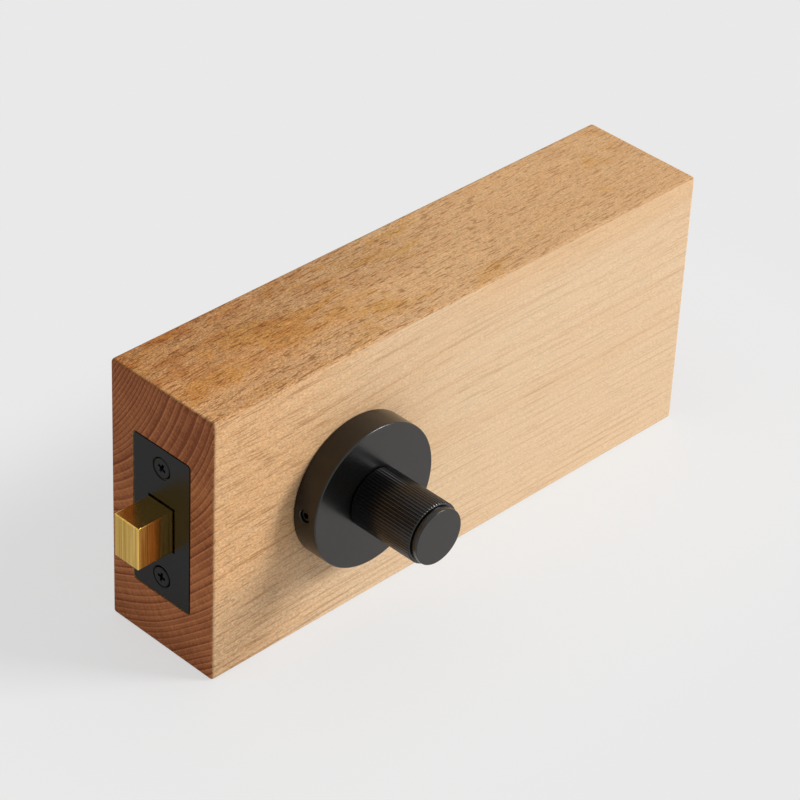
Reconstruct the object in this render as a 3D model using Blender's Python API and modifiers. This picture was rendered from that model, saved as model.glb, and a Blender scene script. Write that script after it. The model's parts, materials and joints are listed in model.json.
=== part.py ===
"""A privacy thumb turn and its tubular bolt, fitted in a beech sample block.

Metres, +Z up. The origin is the centre of the block's base. The bolt comes out of the block's -X end,
the knurled thumb turn is on its -Y face and the coin release is on its +Y face. Turning the knob by
a quarter turn swings the follower's crank pin, which draws the bolt back through its slotted tail.
"""

import math

import bmesh
import bpy
from mathutils import Matrix

# Beech sample block, which stands in for the edge of a door
BLOCK_LENGTH = 0.220
BLOCK_THICKNESS = 0.048
BLOCK_HEIGHT = 0.100
BLOCK_EDGE_RADIUS = 0.0012

# Where the lock lies in the block
BACKSET = 0.060
LOCK_BELOW_MIDDLE = 0.0005

# Fits: a seat is a still joint, a slip is a close still one, a running gap has motion in it
SEAT_GAP = 0.0003
SLIP_GAP = 0.00015
RUNNING_GAP = 0.00015

# Forend: a face plate over the inner plate that carries the bolt case
FOREND_HEIGHT = 0.058
FOREND_WIDTH = 0.0265
FOREND_CORNER_RADIUS = 0.0016
FACE_PLATE_THICKNESS = 0.0016
INNER_PLATE_THICKNESS = 0.0016
FOREND_SCREW_INSET = 0.0078
COLLAR_LENGTH = 0.003
COLLAR_WALL = 0.0008

# Bolt and its tail
BOLT_THICKNESS = 0.0113
BOLT_HEIGHT = 0.0162
BOLT_LENGTH = 0.032
BOLT_THROW = 0.0146
BOLT_PROUD_WHEN_DRAWN = 0.0004
BOLT_EDGE_RADIUS = 0.00035
BOLT_OPENING_GAP = 0.0005
BOLT_CORNER_GAP = 0.00035
TAIL_THICKNESS = 0.002
TAIL_NECK_HEIGHT = 0.009
TAIL_SHELL_GAP = 0.0011
TAIL_LAP = 0.010
TAIL_WEB = 0.003
TAIL_RIVET_RADIUS = 0.0015

# Bolt case: two half shells of a tube whose rear part has flat sides
CASE_WALL = 0.001
CASE_FLAT_GAP = 0.00085
CASE_ROUND_LENGTH = 0.026
CASE_END_WALL = 0.005
CASE_BORE_GAP = 0.0004
CASE_RIVET_RADIUS = 0.00125
CASE_RIVET_SPACING = 0.011

# Follower, which the spindle turns
TURN_ANGLE = math.radians(90)
JOURNAL_WALL = 0.00095
HUB_SHOULDER = 0.0008
ARM_THICKNESS = 0.0024
CRANK_PIN_RADIUS = 0.00125
CRANK_PIN_SLACK = 0.00045
SPINDLE_WIDTH = 0.005
SPINDLE_END_WEB = 0.0023

# Roses: a base screwed to the wood under a cover that one grub screw holds
ROSE_RADIUS = 0.026
ROSE_HEIGHT = 0.010
ROSE_WALL = 0.0026
ROSE_TOP = 0.0016
ROSE_EDGE_RADIUS = 0.0005
BASE_FLOOR = 0.0025
BASE_RIM_WALL = 0.0037
BASE_BOSS_WALL = 0.0028
BASE_SPIGOT_DEPTH = 0.003
BASE_SPIGOT_WALL = 0.0014
GRUB_RADIUS = 0.002
GRUB_LENGTH = 0.004
GRUB_SUNK = 0.0008
GRUB_SOCKET_RADIUS = 0.00115
GRUB_ANGLE = math.radians(176)

# Turning pieces in the roses
SHANK_RADIUS = 0.00785
SHANK_END_LENGTH = 0.00185
BUSH_WALL = 0.0012
BUSH_FLANGE_WIDTH = 0.0018
BUSH_FLANGE_THICKNESS = 0.0008
WASHER_THICKNESS = 0.0006
CIRCLIP_THICKNESS = 0.0008
CIRCLIP_WIDTH = 0.0028
CIRCLIP_OPENING = math.radians(50)
GROOVE_DEPTH = 0.00085

# Knob with its straight knurl, and its end cap
KNOB_RADIUS = 0.01085
KNOB_BASE_GAP = 0.0004
KNOB_KNURL_LENGTH = 0.026
KNOB_WALL = 0.00305
KNURL_COUNT = 60
KNURL_DEPTH = 0.0004
KNURL_CREST_SHARE = 0.30
KNURL_ROOT_SHARE = 0.22
KNOB_END_CHAMFER = 0.0006
CAP_STEP = 0.00065
CAP_HEIGHT = 0.0023
CAP_EDGE_RADIUS = 0.0004
CAP_SPIGOT_LENGTH = 0.006

# Coin release
RELEASE_FLANGE = 0.00045
RELEASE_PROUD = 0.0008
RELEASE_EDGE = 0.0004
COIN_SLOT_WIDTH = 0.0018
COIN_SLOT_LENGTH = 0.012
COIN_SLOT_DEPTH = 0.0022

# Screws
FOREND_SCREW_HEAD_RADIUS = 0.00385
FOREND_SCREW_RADIUS = 0.00175
FOREND_SCREW_LENGTH = 0.022
FOREND_SCREW_TURNS = {"upper": math.radians(27), "lower": math.radians(10)}
BASE_SCREW_HEAD_RADIUS = 0.0033
BASE_SCREW_RADIUS = 0.00175
BASE_SCREW_LENGTH = 0.016
SCREW_HEAD_LAND = 0.00025
SCREW_POINT_LENGTH = 0.004
CROSS_LENGTH = 0.0042
CROSS_WIDTH = 0.0010
CROSS_DEPTH = 0.0016
CROSS_TAPER = 0.5

# Facets round a full turn
ROSE_STEPS = 64
BASE_STEPS = 40
SHANK_STEPS = 36
CASE_STEPS = 36
SMALL_STEPS = 18

# Places and sizes that follow from the values above
OVERCUT = 0.002
END_FACE_X = -BLOCK_LENGTH / 2
AXIS_X = END_FACE_X + BACKSET
AXIS_HEIGHT = BLOCK_HEIGHT / 2 - LOCK_BELOW_MIDDLE
FOREND_THICKNESS = FACE_PLATE_THICKNESS + SEAT_GAP + INNER_PLATE_THICKNESS
FOREND_SCREW_REACH = FOREND_HEIGHT / 2 - FOREND_SCREW_INSET
BOLT_TRAVEL = BOLT_THROW - BOLT_PROUD_WHEN_DRAWN
BOLT_CORNER_RADIUS = math.hypot(BOLT_THICKNESS, BOLT_HEIGHT) / 2
CRANK_RADIUS = BOLT_TRAVEL / (2 * math.sin(TURN_ANGLE / 2))
CRANK_REACH = CRANK_RADIUS + CRANK_PIN_RADIUS
ARM_START = TAIL_THICKNESS / 2 + SEAT_GAP
ARM_END = ARM_START + ARM_THICKNESS

# The case is round enough for the bolt's corners in their collar, and for the crank pin's swing
COLLARED_BOLT_RADIUS = BOLT_CORNER_RADIUS + BOLT_CORNER_GAP + COLLAR_WALL + SEAT_GAP
CASE_INNER_RADIUS = max(COLLARED_BOLT_RADIUS, CRANK_REACH)
CASE_RADIUS = CASE_INNER_RADIUS + CASE_WALL
CASE_FLAT_INNER = BOLT_THICKNESS + 2 * CASE_FLAT_GAP
CASE_FLAT_WIDTH = CASE_FLAT_INNER + 2 * CASE_WALL
LATCH_BORE_RADIUS = CASE_RADIUS + CASE_BORE_GAP
SQUARE_HOLE = SPINDLE_WIDTH + 2 * SLIP_GAP
JOURNAL_RADIUS = SQUARE_HOLE * math.sqrt(0.5) + JOURNAL_WALL
HUB_RADIUS = JOURNAL_RADIUS + HUB_SHOULDER
HUB_WINDOW_RADIUS = HUB_RADIUS + SEAT_GAP
TAIL_REACH = CASE_INNER_RADIUS - TAIL_SHELL_GAP
TAIL_END = BACKSET + HUB_WINDOW_RADIUS + TAIL_WEB
CASE_START = FOREND_THICKNESS + SEAT_GAP
CASE_CAVITY_END = TAIL_END + BOLT_TRAVEL + 2 * SEAT_GAP
CASE_END = CASE_CAVITY_END + CASE_END_WALL
CASE_RIVET_X = CASE_CAVITY_END + CASE_END_WALL / 2

# Heights in a rose are counted from the wood's face, and outwards
BUSH_INNER_RADIUS = SHANK_RADIUS + RUNNING_GAP
BUSH_RADIUS = BUSH_INNER_RADIUS + BUSH_WALL
BASE_BORE_RADIUS = BUSH_RADIUS + SLIP_GAP
SPIGOT_RADIUS = BASE_BORE_RADIUS + BASE_SPIGOT_WALL
CROSS_BORE_RADIUS = SPIGOT_RADIUS + SEAT_GAP
BASE_RADIUS = ROSE_RADIUS - ROSE_WALL - SEAT_GAP
BASE_RIM_INNER = BASE_RADIUS - BASE_RIM_WALL
BASE_BOSS_RADIUS = BASE_BORE_RADIUS + BASE_BOSS_WALL
BASE_SCREW_REACH = (BASE_BOSS_RADIUS + BASE_RIM_INNER) / 2
BASE_FLOOR_TOP = SEAT_GAP + BASE_FLOOR
COVER_UNDERSIDE = ROSE_HEIGHT - ROSE_TOP
BASE_TOP = COVER_UNDERSIDE - SEAT_GAP
BUSH_TOP = COVER_UNDERSIDE - SEAT_GAP
BOSS_TOP = BUSH_TOP - BUSH_FLANGE_THICKNESS - SEAT_GAP
WASHER_TOP = -BASE_SPIGOT_DEPTH - SEAT_GAP
CIRCLIP_TOP = WASHER_TOP - WASHER_THICKNESS - SEAT_GAP
GROOVE_TOP = CIRCLIP_TOP + SLIP_GAP
GROOVE_BOTTOM = CIRCLIP_TOP - CIRCLIP_THICKNESS - SLIP_GAP
GROOVE_RADIUS = SHANK_RADIUS - GROOVE_DEPTH
SHANK_END = GROOVE_BOTTOM - SHANK_END_LENGTH
KNOB_START = ROSE_HEIGHT + KNOB_BASE_GAP
KNOB_END = KNOB_START + KNOB_KNURL_LENGTH
CAP_RADIUS = KNOB_RADIUS - CAP_STEP
CAP_SPIGOT_RADIUS = KNOB_RADIUS - KNOB_WALL
CAP_START = KNOB_END + SEAT_GAP
CAP_END = CAP_START + CAP_HEIGHT
CAP_SPIGOT_END = CAP_START - CAP_SPIGOT_LENGTH
RELEASE_RADIUS = SHANK_RADIUS + RELEASE_FLANGE
RELEASE_TOP = ROSE_HEIGHT + RELEASE_PROUD
COVER_HOLE_RADIUS = RELEASE_RADIUS + SEAT_GAP
SQUARE_HOLE_END = RELEASE_TOP - COIN_SLOT_DEPTH - SPINDLE_END_WEB
SPINDLE_REACH = BLOCK_THICKNESS / 2 + SQUARE_HOLE_END - SEAT_GAP


def clear_scene():
    for obj in list(bpy.data.objects):
        bpy.data.objects.remove(obj, do_unlink=True)


def new_collection(name):
    collection = bpy.data.collections.new(name)
    bpy.context.scene.collection.children.link(collection)
    return collection


def new_material(name, colour, roughness, metallic):
    material = bpy.data.materials.new(name)
    material.use_nodes = True
    shader = material.node_tree.nodes["Principled BSDF"]
    shader.inputs["Base Color"].default_value = (*colour, 1)
    shader.inputs["Roughness"].default_value = roughness
    shader.inputs["Metallic"].default_value = metallic
    return material


clear_scene()
PARTS = new_collection("privacy_thumb_turn")
CUTTERS = new_collection("cutters")
CUTTERS.hide_render = True

BEECH = new_material("beech", (0.72, 0.49, 0.28), 0.55, 0.0)
BLACK = new_material("black_metal", (0.045, 0.045, 0.047), 0.40, 0.8)
BRASS = new_material("satin_brass", (0.70, 0.50, 0.20), 0.30, 1.0)
STEEL = new_material("plated_steel", (0.60, 0.60, 0.58), 0.30, 1.0)
ZINC = new_material("cast_zinc", (0.42, 0.43, 0.44), 0.45, 1.0)
NYLON = new_material("white_nylon", (0.80, 0.79, 0.74), 0.50, 0.0)


def new_frame(name, location, rotation=(0, 0, 0)):
    frame = bpy.data.objects.new(name, None)
    frame.location = location
    frame.rotation_euler = rotation
    PARTS.objects.link(frame)
    return frame


# In the faces' frames and on the turn axis, local +Z points out of the wood and local +Y points up
FACING_FRONT = (math.pi / 2, 0, 0)
FACING_BACK = (math.pi / 2, 0, math.pi)
FORWARD_TO_BACK = (0, math.pi, 0)
POINTING_OUT_OF_END = (0, -math.pi / 2, 0)

FRONT_FACE = new_frame("front_face", (AXIS_X, -BLOCK_THICKNESS / 2, AXIS_HEIGHT), FACING_FRONT)
BACK_FACE = new_frame("back_face", (AXIS_X, BLOCK_THICKNESS / 2, AXIS_HEIGHT), FACING_BACK)
TURN_AXIS = new_frame("turn_axis", (AXIS_X, 0, AXIS_HEIGHT), FACING_FRONT)
END_FACE = new_frame("end_face", (END_FACE_X, 0, AXIS_HEIGHT))
BOLT_LINE = new_frame("bolt_line", (END_FACE_X, 0, AXIS_HEIGHT))


def add_object(name, mesh, frame, material=None, location=(0, 0, 0), rotation=(0, 0, 0)):
    """An object in a frame: a part if it has a material, and otherwise a hidden cutter."""
    obj = bpy.data.objects.new(name, mesh)
    obj.parent = frame
    obj.location = location
    obj.rotation_euler = rotation
    if material:
        mesh.materials.append(material)
        PARTS.objects.link(obj)
    else:
        obj.hide_render = True
        obj.display_type = "WIRE"
        CUTTERS.objects.link(obj)
    return obj


def combine(target, other, operation):
    modifier = target.modifiers.new(f"{operation.lower()} {other.name}", "BOOLEAN")
    modifier.operation = operation
    modifier.object = other
    return target


def cut(target, *cutters):
    for cutter in cutters:
        combine(target, cutter, "DIFFERENCE")
    return target


def join(target, *others):
    for other in others:
        combine(target, other, "UNION")
    return target


def box(name, low, high, frame, material=None, **place):
    """A box between two corners."""
    size = [b - a for a, b in zip(low, high)]
    centre = [(a + b) / 2 for a, b in zip(low, high)]
    mesh = bpy.data.meshes.new(name)
    shape = bmesh.new()
    bmesh.ops.create_cube(shape, size=1)
    bmesh.ops.transform(
        shape, matrix=Matrix.Translation(centre) @ Matrix.Diagonal((*size, 1)), verts=shape.verts
    )
    shape.to_mesh(mesh)
    shape.free()
    return add_object(name, mesh, frame, material, **place)


def cylinder(name, radius, start, end, steps, frame, material=None, along="Z", **place):
    """A round bar between two places on one of the frame's axes."""
    turn = {
        "X": Matrix.Rotation(math.pi / 2, 4, "Y"),
        "Y": Matrix.Rotation(-math.pi / 2, 4, "X"),
        "Z": Matrix.Identity(4),
    }
    mesh = bpy.data.meshes.new(name)
    shape = bmesh.new()
    bmesh.ops.create_cone(
        shape, cap_ends=True, segments=steps, radius1=radius, radius2=radius, depth=end - start
    )
    bmesh.ops.translate(shape, vec=(0, 0, (start + end) / 2), verts=shape.verts)
    bmesh.ops.transform(shape, matrix=turn[along], verts=shape.verts)
    shape.to_mesh(mesh)
    shape.free()
    return add_object(name, mesh, frame, material, **place)


def turned(name, profile, steps, frame, material=None, ring=False, **place):
    """A shape of revolution about local Z. The profile runs outwards over the top and down its outer side.

    A ring's profile closes on itself, and any other one starts and ends on the axis.
    """
    count = len(profile)
    edges = [(i, (i + 1) % count) for i in range(count if ring else count - 1)]
    mesh = bpy.data.meshes.new(name)
    mesh.from_pydata([(radius, 0, height) for radius, height in profile], edges, [])
    obj = add_object(name, mesh, frame, material, **place)
    screw = obj.modifiers.new("turn", "SCREW")
    screw.steps = steps
    screw.render_steps = steps
    screw.use_merge_vertices = True
    screw.merge_threshold = 0.00001
    return obj


def plate(name, outlines, start, end, frame, material=None, stand=None, **place):
    """Flat outlines filled and given their thickness from start to end along local Z. Inner ones are holes.

    The matrix in stand turns the finished plate out of its own plane.
    """
    curve = bpy.data.curves.new(name, "CURVE")
    curve.dimensions = "2D"
    curve.fill_mode = "BOTH"
    curve.extrude = (end - start) / 2
    for outline in outlines:
        spline = curve.splines.new("POLY")
        spline.points.add(len(outline) - 1)
        spline.use_cyclic_u = True
        for point, (x, y) in zip(spline.points, outline):
            point.co = (x, y, 0, 1)
    guide = bpy.data.objects.new(name + "_outline", curve)
    CUTTERS.objects.link(guide)
    graph = bpy.context.evaluated_depsgraph_get()
    mesh = bpy.data.meshes.new_from_object(guide.evaluated_get(graph))
    bpy.data.objects.remove(guide)
    mesh.name = name
    shape = bmesh.new()
    shape.from_mesh(mesh)
    bmesh.ops.remove_doubles(shape, verts=shape.verts, dist=0.000001)
    bmesh.ops.translate(shape, vec=(0, 0, (start + end) / 2), verts=shape.verts)
    if stand:
        bmesh.ops.transform(shape, matrix=stand, verts=shape.verts)
    bmesh.ops.recalc_face_normals(shape, faces=shape.faces)
    shape.to_mesh(mesh)
    shape.free()
    return add_object(name, mesh, frame, material, **place)


def arc(radius, start, end, steps, centre=(0, 0)):
    angles = [start + (end - start) * i / steps for i in range(steps + 1)]
    return [(centre[0] + radius * math.cos(a), centre[1] + radius * math.sin(a)) for a in angles]


def circle(radius, steps, centre=(0, 0)):
    return arc(radius, 0, 2 * math.pi, steps, centre)[:-1]


def rectangle(width, height, corner=0.0, steps=4):
    """A rectangle about the origin, with round corners if it is given their radius."""
    x, y = width / 2 - corner, height / 2 - corner
    corners = [(x, y), (-x, y), (-x, -y), (x, -y)]
    if not corner:
        return corners
    outline = []
    for quarter, centre in enumerate(corners):
        outline += arc(corner, quarter * math.pi / 2, (quarter + 1) * math.pi / 2, steps, centre)
    return outline


def flat_sided_circle(radius, width, steps):
    """A circle whose two sides are cut off flat, width apart along the first axis."""
    tip = math.asin(width / 2 / radius)
    upper = arc(radius, math.pi / 2 - tip, math.pi / 2 + tip, steps)
    return upper + [(-x, -y) for x, y in upper]


def round_edge(radius, rim, top, steps=3):
    """Profile points of a rounded outer edge, from the top face round to the side."""
    return arc(radius, math.pi / 2, 0, steps, (rim - radius, top - radius))


# A plate's own plane becomes the frame's YZ or XZ plane, its thickness lying along X or Y
PLANE_YZ = Matrix(((0, 0, 1, 0), (1, 0, 0, 0), (0, 1, 0, 0), (0, 0, 0, 1)))
PLANE_XZ = Matrix(((1, 0, 0, 0), (0, 0, -1, 0), (0, 1, 0, 0), (0, 0, 0, 1)))


def countersink(name, head_radius, radius, depth, frame, **place):
    """A cutter for a screw whose head lies level with local z = 0."""
    head = head_radius + SEAT_GAP
    hole = radius + SEAT_GAP
    profile = [
        (0, OVERCUT),
        (head, OVERCUT),
        (head, -SCREW_HEAD_LAND),
        (hole, -SCREW_HEAD_LAND - (head - hole)),
        (hole, -depth),
        (0, -depth),
    ]
    return turned(name, profile, SMALL_STEPS, frame, **place)


def cross_recess(name, frame, turn, **place):
    """The two tapered blades of a cross-slot driver, as cutters."""
    blades = []
    for number in (1, 2):
        label = f"{name}_blade_{number}"
        mesh = bpy.data.meshes.new(label)
        shape = bmesh.new()
        half_diagonal = math.sqrt(0.5)
        bmesh.ops.create_cone(
            shape,
            cap_ends=True,
            segments=4,
            radius1=half_diagonal * CROSS_TAPER,
            radius2=half_diagonal,
            depth=1,
        )
        size = Matrix.Diagonal((CROSS_LENGTH, CROSS_WIDTH, 2 * CROSS_DEPTH, 1))
        aim = Matrix.Rotation(turn + number * math.pi / 2, 4, "Z")
        square = Matrix.Rotation(math.pi / 4, 4, "Z")
        bmesh.ops.transform(shape, matrix=aim @ size @ square, verts=shape.verts)
        shape.to_mesh(mesh)
        shape.free()
        blades.append(add_object(label, mesh, frame, **place))
    return blades


def countersunk_screw(name, head_radius, radius, length, turn, frame, material, **place):
    """A wood screw with its head's face at local z = 0 and its point towards -Z."""
    profile = [
        (0, 0),
        (head_radius, 0),
        (head_radius, -SCREW_HEAD_LAND),
        (radius, -SCREW_HEAD_LAND - (head_radius - radius)),
        (radius, SCREW_POINT_LENGTH - length),
        (0, -length),
    ]
    screw = turned(name, profile, SMALL_STEPS, frame, material, **place)
    return cut(screw, *cross_recess(name, frame, turn, **place))


def pair(reach):
    """The heights of an upper and a lower thing, each as far from the lock's axis."""
    return {"upper": reach, "lower": -reach}


def make_block():
    """The block, with the mortise for the bolt, the cross bore for the spindle and the pilot holes."""
    half_length, half_thickness = BLOCK_LENGTH / 2, BLOCK_THICKNESS / 2
    block = box(
        "beech_block",
        (-half_length, -half_thickness, 0),
        (half_length, half_thickness, BLOCK_HEIGHT),
        None,
        BEECH,
    )
    rounding = block.modifiers.new("rounded edges", "BEVEL")
    rounding.width = BLOCK_EDGE_RADIUS
    rounding.segments = 3
    recess_outline = rectangle(
        FOREND_WIDTH + 2 * SEAT_GAP, FOREND_HEIGHT + 2 * SEAT_GAP, FOREND_CORNER_RADIUS + SEAT_GAP
    )
    recess_end = FOREND_THICKNESS + SEAT_GAP
    recess = plate("forend_recess", [recess_outline], -OVERCUT, recess_end, END_FACE, stand=PLANE_YZ)
    bore_end = CASE_END + 2 * SEAT_GAP
    latch_bore = cylinder(
        "latch_bore", LATCH_BORE_RADIUS, OVERCUT, bore_end, CASE_STEPS, END_FACE, along="X"
    )
    reach = half_thickness + OVERCUT
    cross_bore = cylinder("cross_bore", CROSS_BORE_RADIUS, -reach, reach, SHANK_STEPS, TURN_AXIS)
    cut(block, recess, latch_bore, cross_bore)
    for label, height in pair(FOREND_SCREW_REACH).items():
        pilot = cylinder(
            f"forend_{label}_pilot",
            FOREND_SCREW_RADIUS + SLIP_GAP,
            OVERCUT,
            FOREND_SCREW_LENGTH + 2 * SEAT_GAP,
            SMALL_STEPS,
            END_FACE,
            along="X",
            location=(0, 0, height),
        )
        cut(block, pilot)
    for side, frame in (("front", FRONT_FACE), ("back", BACK_FACE)):
        for label, height in pair(BASE_SCREW_REACH).items():
            pilot = cylinder(
                f"{side}_{label}_pilot",
                BASE_SCREW_RADIUS + SLIP_GAP,
                BASE_FLOOR_TOP - BASE_SCREW_LENGTH - 2 * SEAT_GAP,
                OVERCUT,
                SMALL_STEPS,
                frame,
                location=(0, height, 0),
            )
            cut(block, pilot)


def make_forend_plate(name, inset, start, thickness, material):
    """One of the two plates, with the bolt's opening and the countersunk screw holes."""
    outline = rectangle(
        FOREND_WIDTH - 2 * inset, FOREND_HEIGHT - 2 * inset, FOREND_CORNER_RADIUS - inset
    )
    opening = rectangle(BOLT_THICKNESS + 2 * BOLT_OPENING_GAP, BOLT_HEIGHT + 2 * BOLT_OPENING_GAP)
    made = plate(name, [outline, opening], start, start + thickness, END_FACE, material, stand=PLANE_YZ)
    for label, height in pair(FOREND_SCREW_REACH).items():
        hole = countersink(
            f"{name}_{label}_hole",
            FOREND_SCREW_HEAD_RADIUS,
            FOREND_SCREW_RADIUS,
            FOREND_THICKNESS + OVERCUT,
            END_FACE,
            location=(0, 0, height),
            rotation=POINTING_OUT_OF_END,
        )
        cut(made, hole)
    return made


def make_forend():
    make_forend_plate("forend_face_plate", 0, 0, FACE_PLATE_THICKNESS, BLACK)
    inner_start = FACE_PLATE_THICKNESS + SEAT_GAP
    inner = make_forend_plate("forend_inner_plate", SLIP_GAP, inner_start, INNER_PLATE_THICKNESS, STEEL)
    collar_radius = CASE_INNER_RADIUS - SEAT_GAP
    overlap = INNER_PLATE_THICKNESS / 2
    collar = plate(
        "forend_collar",
        [circle(collar_radius, CASE_STEPS), circle(collar_radius - COLLAR_WALL, CASE_STEPS)],
        FOREND_THICKNESS - overlap,
        FOREND_THICKNESS + COLLAR_LENGTH,
        END_FACE,
        stand=PLANE_YZ,
    )
    join(inner, collar)
    for label, height in pair(FOREND_SCREW_REACH).items():
        countersunk_screw(
            f"forend_screw_{label}",
            FOREND_SCREW_HEAD_RADIUS,
            FOREND_SCREW_RADIUS,
            FOREND_SCREW_LENGTH,
            FOREND_SCREW_TURNS[label],
            END_FACE,
            BLACK,
            location=(0, 0, height),
            rotation=POINTING_OUT_OF_END,
        )


def make_case_half(name, side):
    """One half shell of the bolt case. side is -1 for the thumb turn's side and 1 for the release's."""
    reach = CASE_RADIUS + OVERCUT
    round_end = CASE_START + CASE_ROUND_LENGTH
    half = cylinder(name, CASE_RADIUS, CASE_START, CASE_END, CASE_STEPS, END_FACE, STEEL, along="X")
    flat = box(
        f"{name}_flat",
        (round_end, side * CASE_FLAT_WIDTH / 2 if side > 0 else -reach, -reach),
        (CASE_END + OVERCUT, reach if side > 0 else side * CASE_FLAT_WIDTH / 2, reach),
        END_FACE,
    )
    round_cavity = cylinder(
        f"{name}_round_cavity",
        CASE_INNER_RADIUS,
        CASE_START - OVERCUT,
        round_end - CASE_WALL,
        CASE_STEPS,
        END_FACE,
        along="X",
    )
    flat_outline = flat_sided_circle(CASE_INNER_RADIUS, CASE_FLAT_INNER, CASE_STEPS // 4)
    flat_cavity = plate(
        f"{name}_flat_cavity",
        [flat_outline],
        round_end - 2 * CASE_WALL,
        CASE_CAVITY_END,
        END_FACE,
        stand=PLANE_YZ,
    )
    other_half = box(
        f"{name}_other_half",
        (CASE_START - OVERCUT, -reach if side > 0 else -SLIP_GAP, -reach),
        (CASE_END + OVERCUT, SLIP_GAP if side > 0 else reach, reach),
        END_FACE,
    )
    journal_hole = cylinder(
        f"{name}_journal_hole",
        JOURNAL_RADIUS + SEAT_GAP,
        -CASE_FLAT_WIDTH,
        CASE_FLAT_WIDTH,
        SHANK_STEPS,
        TURN_AXIS,
    )
    window_reach = CRANK_RADIUS * math.sin(TURN_ANGLE / 2) + CRANK_PIN_RADIUS + SEAT_GAP
    window = box(
        f"{name}_arm_window",
        (BACKSET - window_reach, -ARM_START - SEAT_GAP, HUB_WINDOW_RADIUS),
        (BACKSET + window_reach, ARM_END + SEAT_GAP, reach),
        END_FACE,
    )
    cut(half, flat, round_cavity, flat_cavity, other_half, journal_hole, window)
    for label, height in pair(CASE_RIVET_SPACING / 2).items():
        hole = cylinder(
            f"{name}_{label}_rivet_hole",
            CASE_RIVET_RADIUS + SLIP_GAP,
            -CASE_FLAT_WIDTH,
            CASE_FLAT_WIDTH,
            SMALL_STEPS,
            END_FACE,
            along="Y",
            location=(CASE_RIVET_X, 0, height),
        )
        cut(half, hole)


def make_case():
    make_case_half("bolt_case_front_half", -1)
    make_case_half("bolt_case_back_half", 1)
    for label, height in pair(CASE_RIVET_SPACING / 2).items():
        cylinder(
            f"case_rivet_{label}",
            CASE_RIVET_RADIUS,
            -CASE_FLAT_WIDTH / 2,
            CASE_FLAT_WIDTH / 2,
            SMALL_STEPS,
            END_FACE,
            STEEL,
            along="Y",
            location=(CASE_RIVET_X, 0, height),
        )


def make_bolt():
    """The brass bolt, and the steel tail that the crank pin moves."""
    rear = BOLT_LENGTH - BOLT_THROW
    half_thickness, half_height = BOLT_THICKNESS / 2, BOLT_HEIGHT / 2
    bolt = box(
        "bolt_head",
        (-BOLT_THROW, -half_thickness, -half_height),
        (rear, half_thickness, half_height),
        BOLT_LINE,
        BRASS,
    )
    rounding = bolt.modifiers.new("eased edges", "BEVEL")
    rounding.width = BOLT_EDGE_RADIUS
    rounding.segments = 2
    half_slot = TAIL_THICKNESS / 2 + SLIP_GAP
    slot = box(
        "bolt_tail_slot",
        (rear - TAIL_LAP, -half_slot, -half_height - OVERCUT),
        (rear + OVERCUT, half_slot, half_height + OVERCUT),
        BOLT_LINE,
    )
    rivet_x = rear - TAIL_LAP / 2
    rivet_hole = cylinder(
        "bolt_rivet_hole",
        TAIL_RIVET_RADIUS + SLIP_GAP,
        -BOLT_THICKNESS,
        BOLT_THICKNESS,
        SMALL_STEPS,
        BOLT_LINE,
        along="Y",
        location=(rivet_x, 0, 0),
    )
    cut(bolt, slot, rivet_hole)
    make_tail(rear, rivet_hole)
    cylinder(
        "bolt_tail_rivet",
        TAIL_RIVET_RADIUS,
        -half_thickness + SLIP_GAP,
        half_thickness - SLIP_GAP,
        SMALL_STEPS,
        BOLT_LINE,
        STEEL,
        along="Y",
        location=(rivet_x, 0, 0),
    )


def make_tail(bolt_rear, rivet_hole):
    """A flat tail with a window that slides over the hub, and a slot in its upper arm for the crank pin."""
    front = bolt_rear - TAIL_LAP + SEAT_GAP
    shoulder = BACKSET - BOLT_TRAVEL - HUB_WINDOW_RADIUS - TAIL_WEB
    neck = TAIL_NECK_HEIGHT / 2
    top = TAIL_REACH
    outline = [
        (front, neck),
        (front, -neck),
        (shoulder, -neck),
        (shoulder, -top),
        (TAIL_END, -top),
        (TAIL_END, top),
        (shoulder, top),
        (shoulder, neck),
    ]
    start, end = -TAIL_THICKNESS / 2, TAIL_THICKNESS / 2
    tail = plate("bolt_tail", [outline], start, end, BOLT_LINE, STEEL, stand=PLANE_XZ)
    rear_end = arc(HUB_WINDOW_RADIUS, -math.pi / 2, math.pi / 2, 12, (BACKSET, 0))
    front_centre = (BACKSET - BOLT_TRAVEL, 0)
    front_end = arc(HUB_WINDOW_RADIUS, math.pi / 2, 3 * math.pi / 2, 12, front_centre)
    hub_window = plate(
        "tail_hub_window",
        [rear_end + front_end],
        start - OVERCUT,
        end + OVERCUT,
        BOLT_LINE,
        stand=PLANE_XZ,
    )
    half_slot = CRANK_PIN_RADIUS + CRANK_PIN_SLACK
    pin_x = BACKSET - CRANK_RADIUS * math.sin(TURN_ANGLE / 2)
    pin_slot = box(
        "tail_pin_slot",
        (pin_x - half_slot, start - OVERCUT, 0),
        (pin_x + half_slot, end + OVERCUT, top + OVERCUT),
        BOLT_LINE,
    )
    cut(tail, hub_window, pin_slot, rivet_hole)


def square_hole(name, start, end, frame, **place):
    half = SQUARE_HOLE / 2
    return box(name, (-half, -half, start), (half, half, end), frame, **place)


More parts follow.
